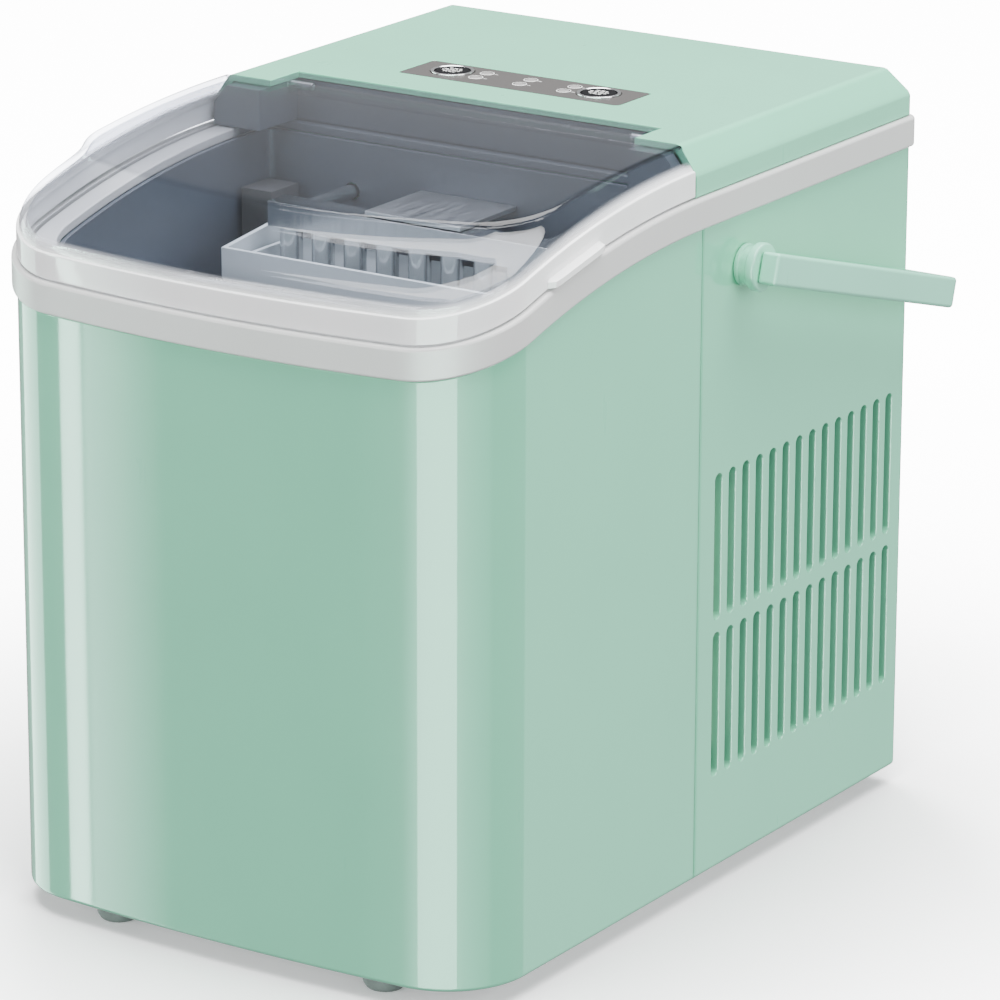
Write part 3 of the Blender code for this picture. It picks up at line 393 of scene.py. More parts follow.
def outwards(path, closed):
    # mitred outward direction at each point of a path that runs clockwise seen from above
    count, found = len(path), []
    for i in range(count):
        sides = []
        for a, b in ((i - 1, i), (i, i + 1)):
            if closed or (a >= 0 and b < count):
                (x0, y0), (x1, y1) = path[a % count], path[b % count]
                length = math.hypot(x1 - x0, y1 - y0)
                sides.append(((y0 - y1) / length, (x1 - x0) / length))
        (ax, ay), (bx, by) = sides[0], sides[-1]
        grow = 1 + ax * bx + ay * by
        found.append(((ax + bx) / grow, (ay + by) / grow))
    return found


def swept(name, path, profileAt, closed):
    # wall that follows a path; profileAt(x, y) gives its section as (inset, height) points
    bm = bmesh.new()
    rows = []
    for (x, y), (nx, ny) in zip(path, outwards(path, closed)):
        rows.append([bm.verts.new(at(x - nx * i, y - ny * i, z)) for i, z in profileAt(x, y)])
    pairs = list(zip(rows, rows[1:]))
    if closed:
        pairs.append((rows[-1], rows[0]))
    else:
        bm.faces.new(rows[0])
        bm.faces.new(rows[-1][::-1])
    count = len(rows[0])
    for first, second in pairs:
        for i in range(count):
            j = (i + 1) % count
            bm.faces.new((first[i], first[j], second[j], second[i]))
    return newObject(name, bm)


def section(insetLow, insetHigh, low, high, radii, steps=4):
    # rectangle with its own radius at each corner: outer low, outer high, inner high, inner low
    points = []
    corners = ((insetLow, low, 1, 1, 270), (insetLow, high, 1, -1, 180),
               (insetHigh, high, -1, -1, 90), (insetHigh, low, -1, 1, 0))
    for (i, z, inward, upward, start), radius in zip(corners, radii):
        for k in range(steps + 1):
            turn = math.radians(start - 90 * k / steps)
            points.append((i + inward * radius + radius * math.cos(turn),
                           z + upward * radius + radius * math.sin(turn)))
    return points


def groupInput(tree, name, kind):
    tree.interface.new_socket(name, in_out="INPUT", socket_type="NodeSocket" + kind)


def gridTree():
    tree = bpy.data.node_groups.new("rowsAndColumns", "GeometryNodeTree")
    for name, kind in (("Start", "Vector"), ("Columns", "Int"), ("Column Step", "Vector"),
                       ("Rows", "Int"), ("Row Step", "Vector"), ("Copy", "Object"),
                       ("Finish", "Material")):
        groupInput(tree, name, kind)
    tree.interface.new_socket("Geometry", in_out="OUTPUT", socket_type="NodeSocketGeometry")
    given = node(tree, "NodeGroupInput").outputs
    lines = [
        node(tree, "GeometryNodeMeshLine", {
            "Count": given[count], "Offset": given[step], "Start Location": start})
        for count, step, start in (("Columns", "Column Step", given["Start"]),
                                   ("Rows", "Row Step", (0, 0, 0)))
    ]
    points = node(tree, "GeometryNodeInstanceOnPoints", {
        "Points": lines[1].outputs["Mesh"], "Instance": lines[0].outputs["Mesh"]})
    loose = node(tree, "GeometryNodeRealizeInstances", {"Geometry": points.outputs["Instances"]})
    original = node(tree, "GeometryNodeObjectInfo", {"Object": given["Copy"], "As Instance": True})
    copies = node(tree, "GeometryNodeInstanceOnPoints", {
        "Points": loose.outputs["Geometry"], "Instance": original.outputs["Geometry"]})
    solid = node(tree, "GeometryNodeRealizeInstances", {"Geometry": copies.outputs["Instances"]})
    painted = node(tree, "GeometryNodeSetMaterial", {
        "Geometry": solid.outputs["Geometry"], "Material": given["Finish"]})
    out = node(tree, "NodeGroupOutput")
    tree.links.new(painted.outputs["Geometry"], out.inputs["Geometry"])
    return tree


rowsAndColumns = gridTree()


def repeated(name, original, look, start, columns, columnStep, rows=1, rowStep=(0, 0, 0)):
    # start and steps in millimetres; the original is laid out about the body's origin
    made = bpy.data.objects.new(name, bpy.data.meshes.new(name))
    bpy.context.scene.collection.objects.link(made)
    step = made.modifiers.new("copies", "NODES")
    step.node_group = rowsAndColumns
    values = {
        "Start": Vector(start) / 1000, "Columns": columns, "Column Step": Vector(columnStep) / 1000,
        "Rows": rows, "Row Step": Vector(rowStep) / 1000, "Copy": original, "Finish": looks[look],
    }
    sockets = {item.name: item.identifier for item in rowsAndColumns.interface.items_tree
               if item.in_out == "INPUT"}
    for socket, value in values.items():
        step[sockets[socket]] = value
    makePlain(made)
    bpy.data.objects.remove(original)
    return made


body = dict(half=111.0, front=-156.9, back=156.9, seam=-0.6, frontCorner=34.0, frontBow=1141.0,
            backCorner=3.0, frontWall=2.0, rearWall=3.0)
band = dict(front=232.0, rise=28.4, power=2.1, height=12.3, proud=2.0, thick=5.0)
coverTop = 292.4


def bowedFront(half, front, corner, bow, back, sideSteps=24, cornerSteps=18, bowSteps=28):
    # from the right back, round a bowed front, to the left back
    cornerX = half - corner
    cornerY = front + bow - math.sqrt((bow - corner) ** 2 - cornerX ** 2)
    turn = math.asin(cornerX / (bow - corner))
    points = [(half, back + (cornerY - back) * k / sideSteps) for k in range(sideSteps)]
    for k in range(cornerSteps):
        angle = -(math.pi / 2 - turn) * k / cornerSteps
        points.append((cornerX + corner * math.cos(angle), cornerY + corner * math.sin(angle)))
    for k in range(bowSteps + 1):
        angle = turn * (1 - 2 * k / bowSteps)
        points.append((bow * math.sin(angle), front + bow - bow * math.cos(angle)))
    mirrored = [(-x, y) for x, y in points[: sideSteps + cornerSteps]]
    return points + mirrored[::-1]


def roundBack(half, back, radius, steps=6):
    points = []
    for side, start in ((-1, 180), (1, 90)):
        for k in range(steps + 1):
            angle = math.radians(start - 90 * k / steps)
            points.append((side * (half - radius) + radius * math.cos(angle),
                           back - radius + radius * math.sin(angle)))
    return points


def bandLow(y):
    along = min(max((y - body["front"]) / -body["front"], 0.0), 1.0)
    return band["front"] + band["rise"] * (1 - (1 - along) ** band["power"])


def bandHigh(y):
    return bandLow(y) + band["height"]


def bodyFront(back, **steps):
    return bowedFront(body["half"], body["front"], body["frontCorner"], body["frontBow"], back,
                      **steps)


shells = dict(footRadius=1.8, edgeRadius=0.5, gap=0.3, seamGap=0.15, seamEase=0.45, easeLength=0.9)
vents = dict(columns=14, firstY=13.1, pitch=10.03, width=4.8, low=38.8, high=97.05, rowPitch=63.8,
             flare=0.7)


def shellSection(wall):
    def sectionAt(x, y):
        near = max(0.0, 1 - abs(abs(y - body["seam"]) - shells["seamGap"]) / shells["easeLength"])
        ease = shells["seamEase"] * near if abs(abs(x) - body["half"]) < 0.01 else 0.0
        radii = (shells["footRadius"], shells["edgeRadius"], 0.3, 0.3)
        points = section(0.0, wall, 0.0, bandLow(y) - shells["gap"], radii)
        return [(max(i, ease), z) for i, z in points]
    return sectionAt


def seamSide(direction):
    # the points next to the seam, where the edge is eased
    start = body["seam"] + direction * shells["seamGap"]
    return [start, start + direction * shells["easeLength"]]


frontPath = [(body["half"], y) for y in seamSide(-1)[:1]] + bodyFront(seamSide(-1)[1])
frontPath.append((-body["half"], seamSide(-1)[0]))
frontShell = swept("frontShell", frontPath, shellSection(body["frontWall"]), False)
finishPiece(frontShell, "mint", "housing", "front_shell")

rearPath = roundBack(body["half"], body["back"], body["backCorner"])
rearPath = [(-body["half"], y) for y in seamSide(1)] + rearPath
rearPath += [(body["half"], y) for y in seamSide(1)[::-1]]
rearShell = swept("rearShell", rearPath, shellSection(body["rearWall"]), False)


def ventCutter():
    # long round-ended slot that flares where it meets the outside
    half, middle, rings = body["half"], (vents["low"] + vents["high"]) / 2, []
    for along, grow in ((-half - 3, 2.2), (-half - 0.01, vents["flare"]), (-half + 0.7, 0.0),
                        (half - 0.7, 0.0), (half + 0.01, vents["flare"]), (half + 3, 2.2)):
        width, tall = vents["width"] / 2 + grow / 2, (vents["high"] - vents["low"]) / 2 + grow / 2
        outline = roundedBox(-width, width, -tall, tall, width - 0.005, 6)
        rings.append([(along, y, z + middle) for y, z in outline])
    return stacked("ventSlot", rings)


ventSlots = repeated("ventSlots", ventCutter(), "mint", (0, vents["firstY"], 0), vents["columns"],
                     (0, vents["pitch"], 0), 2, (0, 0, vents["rowPitch"]))
inlet = dict(x=62.0, z=34.0, halfX=12.0, halfZ=9.0)
drain = dict(x=-62.0, z=30.0, radius=6.3)
handlePin = dict(y=28.6, z=240.0, radius=2.3, steps=24)
cutReach = 8.0
boolean(
    rearShell, "DIFFERENCE", ventSlots,
    turned("pinHole", "X", (0, handlePin["y"], handlePin["z"]),
           [(end, handlePin["radius"]) for end in (-120, 120)], handlePin["steps"]),
    block("inletHole", (inlet["x"] - inlet["halfX"], body["back"] - cutReach, inlet["z"] - inlet["halfZ"]),
          (inlet["x"] + inlet["halfX"], body["back"] + cutReach, inlet["z"] + inlet["halfZ"])),
    turned("drainHole", "Y", (drain["x"], 0, drain["z"]),
           [(body["back"] + end, drain["radius"]) for end in (-cutReach, cutReach)], 32),
)
finishPiece(rearShell, "mint", "housing", "rear_shell")
print("shells made")


def bandSection(x, y):
    low, high = bandLow(y), bandHigh(y)
    radii = (1.1, 1.5, 0.4, 0.4)
    return section(-band["proud"], band["thick"] - band["proud"], low, high, radii, 5)


bandPath = bodyFront(body["back"] - body["backCorner"] - 1, sideSteps=44)
bandPath += roundBack(body["half"], body["back"], body["backCorner"])
trimBand = swept("trimBand", bandPath, bandSection, True)
finishPiece(trimBand, "bandGrey", "housing", "trim_band")

cover = dict(front=-6.2, wall=2.5, notchHalf=83.7, notchBack=13.0, notchEase=0.4, cutFront=-60.0,
             hollowFront=-30.0,
             outside=((0.3, 273.0), (0.0, 273.3), (0.0, 280.6), (0.14, 281.3), (0.6, 282.5),
                      (3.6, 286.6), (6.7, 290.8), (7.3, 291.6), (8.2, 292.15), (9.5, 292.4)),
             inside=((0.0, 268.0), (0.0, 280.8), (7.1, 289.9)))


def coverRing(drawIn, z, front):
    half, back = body["half"] - drawIn, body["back"] - drawIn
    outline = roundBack(half, back, max(body["backCorner"] - 0.25 * drawIn, 0.5))
    return [(x, y, z) for x, y in [(half, front)] + outline[::-1] + [(-half, front)]]


def notchRing(grow, z):
    half, back = cover["notchHalf"] + grow, cover["notchBack"] + grow
    front = cover["cutFront"]
    return [(x, y, z) for x, y in ((-half, front), (half, front), (half, back), (-half, back))]


topCover = stacked("topCover", [coverRing(*row, cover["front"]) for row in cover["outside"]])
notchRows = [(0, 260), (0, coverTop - cover["notchEase"]), (0.12, coverTop - 0.12),
             (cover["notchEase"], coverTop + 0.01), (cover["notchEase"], coverTop + 9)]
boolean(topCover, "DIFFERENCE",
        stacked("coverHollow", [coverRing(drawIn + cover["wall"], z, cover["hollowFront"])
                                for drawIn, z in cover["inside"]]),
        stacked("notch", [notchRing(*row) for row in notchRows]))

panel = dict(y=46.0, width=101.6, depth=24.8, thick=0.9, corner=2.0, buttonX=34.0, buttonY=46.9,
             ringRadius=8.7, ringBore=7.3, lightPitch=20.4, lightRows=(42.9, 51.0), lightRadius=2.2,
             printBore=2.58, gap=0.3, markHalf=0.32, markLift=0.47, cut=9.0)
# turned parts of the panel, as (height above the cover, radius)
ringProfile = ((-3.2, 8.7), (0.15, 8.7), (0.42, 8.55), (0.58, 8.2), (0.6, 8.0), (0.52, 7.6), (0.3, 7.38))
capProfile = ((-4.5, 6.9), (-4.4, 7.0), (-0.5, 7.0), (0.1, 6.85), (0.38, 6.5), (0.48, 5.9), (0.45, 4.8),
              (0.42, 2.0), (0.42, 0.5))
printProfile = ((-0.05, 2.9), (0.08, 2.9), (0.12, 2.84), (0.12, 2.6))
# three columns and two rows of lights: start, count and step of each
lightGrid = ((-panel["lightPitch"], panel["lightRows"][0], 0), 3, (panel["lightPitch"], 0, 0),
             2, (0, panel["lightRows"][1] - panel["lightRows"][0], 0))


def panelRing(inset, z):
    x, y = panel["width"] / 2 - inset, panel["depth"] / 2 - inset
    outline = roundedBox(-x, x, panel["y"] - y, panel["y"] + y, max(panel["corner"] - inset, 0.3))
    return [(px, py, z) for px, py in outline]


def onCover(profile):
    return [(coverTop + height, radius) for height, radius in profile]


def roundCut(name, x, y, radius, count):
    profile = onCover([(-panel["cut"], radius), (panel["cut"], radius)])
    return turned(name, "Z", (x, y, 0), profile, count)


def roundHoles(name):
    # cutters for the two button rings and the six lights
    found = []
    for side in (-1, 1):
        found.append(roundCut(f"{name}Ring{side + 1}", side * panel["buttonX"], panel["buttonY"],
                              panel["ringRadius"] + panel["gap"], 64))
    post = roundCut(f"{name}Light", 0, 0, panel["lightRadius"] + panel["gap"], 24)
    found.append(repeated(f"{name}Lights", post, "lens", *lightGrid))
    return found


pocket = stacked("pocket", [panelRing(-panel["gap"], coverTop - panel["thick"] - panel["gap"]),
                            panelRing(-panel["gap"], coverTop - 0.2), panelRing(-0.6, coverTop + 0.1),
                            panelRing(-0.6, coverTop + 5)])
boolean(topCover, "DIFFERENCE", pocket, *roundHoles("cover"))
finishPiece(topCover, "mint", "housing", "top_cover", sharp=30)

controlPanel = stacked("controlPanel", [panelRing(0.0, coverTop - panel["thick"]),
                                        panelRing(0.0, coverTop - 0.25), panelRing(0.08, coverTop - 0.07),
                                        panelRing(0.25, coverTop)])
boolean(controlPanel, "DIFFERENCE", *roundHoles("panel"))
finishPiece(controlPanel, "panelFilm", "housing", "control_panel")

lightRing = turned("lightRing", "Z", (0, 0, 0), onCover(printProfile), 40)
boolean(lightRing, "DIFFERENCE", roundCut("lightRingHole", 0, 0, panel["printBore"], 40))
lightRings = repeated("lightRings", lightRing, "print", *lightGrid)
finishPiece(lightRings, "print", "housing")
lightDash = block("lightDash", (3.6, -0.3, coverTop - 0.02), (5.2, 0.0, coverTop + 0.08))
lightDashes = repeated("lightDashes", lightDash, "print", *lightGrid)
finishPiece(lightDashes, "print", "housing")


def buttonMarks(name, side, rows):
    # short printed strokes in rows across the button
    bm = bmesh.new()
    x, y, z = side * panel["buttonX"], panel["buttonY"], coverTop + panel["markLift"]
    for offset, strokes in rows:
        low, high = offset - panel["markHalf"], offset + panel["markHalf"]
        for left, right in strokes:
            corners = ((left, low), (right, low), (right, high), (left, high))
            ringStack(bm, [[(x + dx, y + dy, z + dz) for dx, dy in corners] for dz in (-0.15, 0.06)])
    return newObject(name, bm)


buttons = {
    "select_button": (-1, [(2.4, ((-2.6, -1.2), (-0.5, 1.0), (1.7, 2.9))),
                           (0.6, ((-4.0, -2.2), (-1.5, 0.4), (1.1, 2.2), (2.8, 4.0))),
                           (-1.2, ((-4.0, -3.0), (-2.3, -0.2), (0.5, 2.4), (3.0, 4.1))),
                           (-3.0, ((-2.4, -0.6), (0.1, 1.3), (1.9, 2.7)))]),
    "power_button": (1, [(2.4, ((-2.4, -0.9), (-0.2, 1.2), (1.8, 2.6))),
                         (0.6, ((-4.1, -2.9), (-2.2, -0.5), (0.2, 1.8), (2.4, 4.1))),
                         (-1.2, ((-3.9, -2.0), (-1.4, -0.3), (0.4, 2.3), (2.9, 3.9))),
                         (-3.0, ((-2.6, -1.6), (-0.9, 0.8), (1.5, 2.6)))]),
}
for buttonBody, (side, rows) in buttons.items():
    word = "select" if side < 0 else "power"
    middle = (side * panel["buttonX"], panel["buttonY"], 0)
    ring = turned(word + "Ring", "Z", middle, onCover(ringProfile), 96)
    boolean(ring, "DIFFERENCE", roundCut("bore", *middle[:2], panel["ringBore"], 96))
    finishPiece(ring, "brightRing", "housing", buttonBody + "_ring")
    cap = turned(word + "Cap", "Z", middle, onCover(capProfile), 72)
    finishPiece(cap, "buttonBlack", buttonBody, buttonBody)
    finishPiece(buttonMarks(word + "Marks", side, rows), "print", buttonBody)
print("cover and control panel made")

lid = dict(gap=0.8, lip=10.0, wall=2.4, back=-7.0, windowRadius=638.0, tongueHalf=83.0,
           tongueBack=12.2, tongueFold=1.5, axisY=8.2, axisZ=coverTop - 4.1, barrel=3.9, pinBore=1.8,
           lipMilk=0.93, lipFade=2.5, wallSteps=14, endGap=0.4, creaseSteps=5, creaseReach=2.2,
           creaseSwell=1.6,
           crease=dict(half=104.5, front=-126.0, corner=27.0, bow=330.0))
# how far the finger tab stands out along the lip
fingerTab = ((-107.5, 0.4), (-106.2, 2.9), (-103.0, 3.4), (-77.0, 3.4), (-73.8, 2.9), (-72.5, 0.4))


def windowHeight(y):
    ahead = max(lid["back"] - y, 0.0)
    return coverTop - (lid["windowRadius"] - math.sqrt(lid["windowRadius"] ** 2 - ahead ** 2))


def swellAt(y):
    return min(max((y - lid["back"]) / (lid["crease"]["front"] - lid["back"]), 0.0), 1.0)


def lidSkin():
    foot = bodyFront(lid["back"])
    crease = bowedFront(back=lid["back"], **lid["crease"])
    normals = outwards(foot, False)
    rows = []
    for inset, up in ((0.5, 0.0), (0.12, 0.12), (0.0, 0.5), (0.0, lid["lip"] - 0.9),
                      (0.15, lid["lip"] - 0.4), (0.55, lid["lip"] - 0.12), (1.1, lid["lip"])):
        rows.append([(x - nx * inset, y - ny * inset, bandHigh(y) + lid["gap"] + up)
                     for (x, y), (nx, ny) in zip(foot, normals)])
    lip = rows[-1]
    inwards = outwards(crease, True)
    ends = []
    for k in range(1, lid["wallSteps"] + 1):
        t = k / lid["wallSteps"]
        row = []
        for (x, y, z), (cx, cy) in zip(lip, crease):
            swell = swellAt(cy)
            across = (t - swell * 0.15 * math.sin(math.tau * t)
                      - swell * 0.06 * math.sin(math.pi * t))
            row.append((x + (cx - x) * across, y + (cy - y) * across,
                        z + (windowHeight(cy) - z) * t))
        ends.append(row)
    rows += ends[:-1]
    # the crease is rounded from the wall into the window
    for k in range(lid["creaseSteps"] + 1):
        t = k / lid["creaseSteps"]
        row = []
        for below, corner, (nx, ny) in zip(ends[-2], ends[-1], inwards):
            reach = lid["creaseReach"] + lid["creaseSwell"] * swellAt(corner[1])
            fall = Vector(below) - Vector(corner)
            low = Vector(corner) + fall * min(reach / fall.length, 0.9)
            y = corner[1] - ny * reach if corner[1] < lid["back"] - 0.01 else corner[1]
            high = Vector((corner[0] - nx * reach, y, windowHeight(y)))
            row.append(tuple(low * (1 - t) ** 2 + Vector(corner) * 2 * t * (1 - t) + high * t * t))
        rows.append(row)
    return rows


def makeLid():
    bm = bmesh.new()
    rows = [[bm.verts.new(at(*point)) for point in row] for row in lidSkin()]
    for low, high in zip(rows, rows[1:]):
        for i in range(len(low) - 1):
            bm.faces.new((low[i], low[i + 1], high[i + 1], high[i]))
    crease = rows[-1]
    half = len(crease) // 2
    tongue = [[bm.verts.new(at(side * lid["tongueHalf"], y, coverTop - drop)) for side in (1, -1)]
              for y, drop in ((lid["back"], 0), (lid["tongueBack"] - lid["tongueFold"], 0),
                              (lid["tongueBack"], lid["tongueFold"]))]
    bm.faces.new((crease[0], crease[1], crease[-2], crease[-1], *tongue[0][::-1]))
    for near, far in zip(tongue, tongue[1:]):
        bm.faces.new((*near, *far[::-1]))
    for i in range(1, half):
        bm.faces.new(list(dict.fromkeys((crease[i], crease[i + 1], crease[-2 - i], crease[-1 - i]))))
    made = newObject("clearLid", bm)
    if made.data.polygons[-1].normal.z < 0:
        made.data.flip_normals()
    thick = made.modifiers.new("wall", "SOLIDIFY")
    thick.thickness, thick.offset, thick.use_even_offset = lid["wall"] / 1000, -1.0, True
    makePlain(made)
    end = lid["tongueHalf"] - lid["endGap"]
    pivot = (0, lid["axisY"], lid["axisZ"])
    parts = [turned("barrel", "X", pivot, [(-end, lid["barrel"]), (end, lid["barrel"])], 40)]
    for side in (-1, 1):
        rings = []
        root = side * (body["half"] - 1)
        for y, proud in fingerTab:
            z, reach = bandHigh(y) + lid["gap"], side * (body["half"] + proud)
            rings.append([(root, y, z + 0.2), (reach, y, z + 0.5), (reach, y, z + 2.7), (root, y, z + 3.6)])
        parts.append(stacked(f"tab{side + 1}", rings))
    boolean(made, "UNION", *parts)
    bores = []
    for side in (-1, 1):
        start, stop = sorted((side * (end - 10), side * (end + 10)))
        ends = [(start, lid["pinBore"]), (stop, lid["pinBore"])]
        bores.append(turned(f"bore{side + 1}", "X", pivot, ends))
    return boolean(made, "DIFFERENCE", *bores)


def shareVertices(piece, name, shareAt):
    shares = piece.data.attributes.new(name, "FLOAT", "POINT")
    for vertex, entry in zip(piece.data.vertices, shares.data):
        place = (vertex.co - bodyOrigin) * 1000
        entry.value = min(max(shareAt(place), 0.0), 1.0)


def lipShare(place):
    height = place.z - bandHigh(place.y) - lid["gap"]
    ahead = place.y < lid["back"] + 1
    return lid["lipMilk"] * (lid["lip"] + lid["lipFade"] - height) / lid["lipFade"] if ahead else 0.0


# painted reflection: how much dark is drawn along the lid's crease, strongest towards the back
def ridgePaintedReflection(place):
    outline = bowedFront(back=lid["back"], **lid["crease"])
    near = min((Vector((x, y, windowHeight(y))) - place).length for x, y in outline)
    fade = 1 - 0.85 * swellAt(place.y)
    return 0.9 * fade * (1.7 - near) / 1.2


clearLid = makeLid()
shareVertices(clearLid, "lipShare", lipShare)
shareVertices(clearLid, "ridgePaintedReflection", ridgePaintedReflection)
finishPiece(clearLid, "clearLid", "lid", "lid", sharp=24)
print("lid made")

handle = dict(y=handlePin["y"], z=handlePin["z"], angle=-16.2, reach=144.2, bar=8.1, width=12.4,
              innerX=120.8, boss=4.8, corner=6.0, softness=1.5)


def bail(out, tip, corner, steps=10):
    points = [(out, -handle["boss"]), (out, 20.0), (out, 70.0)]
    for k in range(steps + 1):
        angle = math.radians(90 * k / steps)
        points.append((out - corner + corner * math.cos(angle), tip - corner + corner * math.sin(angle)))
    return points + [(-x, y) for x, y in points[::-1]]


def makeHandle():
    outer = bail(handle["innerX"] + handle["bar"], handle["reach"], handle["corner"])
    inner = bail(handle["innerX"], handle["reach"] - handle["bar"], 1.4)
    half, tilt = handle["width"] / 2, math.radians(handle["angle"])
    bm = bmesh.new()
    rows = []
    for (ox, ou), (ix, iu) in zip(outer, inner):
        row = []
        for x, u, w in ((ox, ou, -half), (ox, ou, half), (ix, iu, half), (ix, iu, -half)):
            row.append(bm.verts.new(at(x, handle["y"] + u * math.cos(tilt) - w * math.sin(tilt),
                                       handle["z"] + u * math.sin(tilt) + w * math.cos(tilt))))
        rows.append(row)
    bm.faces.new(rows[0])
    bm.faces.new(rows[-1][::-1])
    for first, second in zip(rows, rows[1:]):
        for i in range(4):
            j = (i + 1) % 4
            bm.faces.new((first[i], first[j], second[j], second[i]))
    made = soften(newObject("carryHandle", bm), handle["softness"], 4, 50)
    pivot, bores = (0, handle["y"], handle["z"]), []
    for side in (-1, 1):
        start, stop = sorted((side * (handle["innerX"] - 3), side * (handle["innerX"] + 4.5)))
        bores.append(turned(f"handleBore{side + 1}", "X", pivot, [(start, 2.3), (stop, 2.3)], 32))
    return boolean(made, "DIFFERENCE", *bores)


finishPiece(makeHandle(), "handleMint", "handle", "handle")
hubProfile = ((111.3, 7.6), (111.5, 8.0), (111.9, 8.2), (112.9, 8.2), (113.2, 7.9), (113.3, 7.4),
              (114.4, 7.4), (114.6, 7.7), (115.9, 7.7), (116.3, 8.0), (116.8, 8.9), (117.2, 9.3),
              (117.7, 9.45), (119.7, 9.45), (120.2, 9.2), (120.5, 8.7))
for side, word in ((-1, "left"), (1, "right")):
    profile = [(side * along, radius) for along, radius in hubProfile][::side]
    hub = turned(word + "Hub", "X", (0, handle["y"], handle["z"]), profile, 64)
    start, stop = sorted((side * 106.0, side * 126.0))
    boolean(hub, "DIFFERENCE",
            turned("hubBore", "X", (0, handle["y"], handle["z"]), [(start, 2.3), (stop, 2.3)], 32))
    finishPiece(hub, "handleMint", "housing", "handle_hub_" + word, sharp=28)
print("handle made")

# outlines of the rim: half width, front, front corner, where the sides end, back
rim = dict(outer=(106.0, -151.9, 29.0, 13.0, 19.5), inner=(97.0, -141.0, 20.0, -3.0, 10.0),
           backCorner=4.0)
rimSection = ((0.0, 3.4), (0.0, 0.3), (0.03, 0.08), (0.07, 0.0), (0.86, 0.0), (0.94, 0.12),
              (0.985, 0.45), (1.0, 1.0), (1.0, 3.4))


def rimOutline(half, front, corner, sideEnd, back):
    points = bowedFront(half, front, corner, body["frontBow"], sideEnd)
    return points + roundBack(half, back, rim["backCorner"])


def makeRim():
    outer, inner = rimOutline(*rim["outer"]), rimOutline(*rim["inner"])
    bm = bmesh.new()
    rows = []
    for (ox, oy), (ix, iy) in zip(outer, inner):
        row = []
        for share, drop in rimSection:
            x, y = ox + (ix - ox) * share, oy + (iy - oy) * share
            row.append(bm.verts.new(at(x, y, bandHigh(y) - drop)))
        rows.append(row)
    count = len(rows[0])
    for first, second in zip(rows, rows[1:] + rows[:1]):
        for i in range(count):
            j = (i + 1) % count
            bm.faces.new((first[i], first[j], second[j], second[i]))
    return newObject("chamberRim", bm)


finishPiece(makeRim(), "rimGrey", "housing", "chamber_rim")


screws = dict(x=98.0, low=16.0, rise=228.0, slotFloor=157.9, slotTop=162.0, slotLong=2.0, slotWide=0.4)
screwProfile = [(157.2, 3.5), (157.5, 3.6), (158.1, 3.45), (158.7, 2.9), (159.1, 2.0), (159.2, 1.0)]


def makeScrews():
    # pan heads with a cross recess
    head = turned("screwHead", "Y", (0, 0, 0), screwProfile, 40)
    slots = []
    for x, z in ((screws["slotLong"], screws["slotWide"]), (screws["slotWide"], screws["slotLong"])):
        slots.append(block(f"slot{len(slots)}", (-x, screws["slotFloor"], -z), (x, screws["slotTop"], z)))
    boolean(head, "DIFFERENCE", *slots)
    return repeated("backScrews", head, "zincSteel", (-screws["x"], 0, screws["low"]), 2,
                    (2 * screws["x"], 0, 0), 2, (0, 0, screws["rise"]))


finishPiece(makeScrews(), "zincSteel", "housing", "back_screw_lower_left", "back_screw_lower_right",
            "back_screw_upper_left", "back_screw_upper_right")

carried = {
    "base_pan": ("bandGrey", 0.4), "foot_front_left": ("rubber", 0.7), "foot_front_right": ("rubber", 0.7),
    "foot_back_left": ("rubber", 0.7), "foot_back_right": ("rubber", 0.7), "rear_cowl": ("slate", 0.35),
    "chamber_liner": ("slate", 0.5), "tank_insulation": ("beadFoam", 1.0), "ice_basket": ("frosted", 0.35),
    "evaporator": ("platedTin", 0.4), "evaporator_bracket": ("zincSteel", 0.3),
    "water_tray": ("frosted", 0.4), "ice_shovel": ("frosted", 0.3), "tray_shaft": ("zincSteel", 0.2),
    "tray_motor": ("darkGrey", 0.8), "tray_bearing": ("frosted", 0.6), "water_pump": ("darkGrey", 0.6),
    "water_level_sensor": ("darkGrey", 0.4), "ice_sensor_left": ("darkGrey", 0.5),
    "ice_sensor_right": ("darkGrey", 0.5), "compressor": ("black", 1.2), "condenser": ("aluminium", 0.12),
    "fan_shroud": ("darkGrey", 0.6), "fan": ("darkGrey", 0.25), "fan_motor": ("darkGrey", 0.6),
    "fan_bracket": ("black", 0.3), "filter_dryer": ("copper", 0.6), "discharge_line": ("copper", 0.0),
    "suction_line": ("copper", 0.0), "pump_hose": ("frosted", 0.0), "hot_gas_valve": ("black", 0.6),
    "power_board": ("circuitBoard", 0.25), "control_board": ("circuitBoard", 0.2),
    "power_inlet": ("black", 0.5), "drain_spout": ("darkGrey", 0.3), "drain_cap": ("rubber", 0.4),
    "bulkhead": ("zincSteel", 0.2), "indicator_lens": ("lens", 0.2), "lid_pin_left": ("zincSteel", 0.2),
    "lid_pin_right": ("zincSteel", 0.2), "handle_pin_left": ("zincSteel", 0.2),
    "handle_pin_right": ("zincSteel", 0.2),
}


def camelName(name):
    first, *others = name.split("_")
    return first + "".join(word.capitalize() for word in others)


def softCopy(cadNode, width):
    bm = bmesh.new()
    bm.from_mesh(frame["nodes"][cadNode].data)
    bmesh.ops.remove_doubles(bm, verts=bm.verts, dist=1e-6)
    bmesh.ops.dissolve_limit(bm, angle_limit=math.radians(0.6), verts=bm.verts, edges=bm.edges)
    mesh = bpy.data.meshes.new(camelName(cadNode))
    bm.to_mesh(mesh)
    bm.free()
    made = bpy.data.objects.new(camelName(cadNode), mesh)
    bpy.context.scene.collection.objects.link(made)
    return soften(made, width, 2, 40) if width else made


for cadNode, (look, width) in carried.items():
    owner = frame["nodes"][cadNode]["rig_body"]
    finishPiece(softCopy(cadNode, width), look, owner, cadNode, sharp=38)
print("inner parts made:", len(carried))

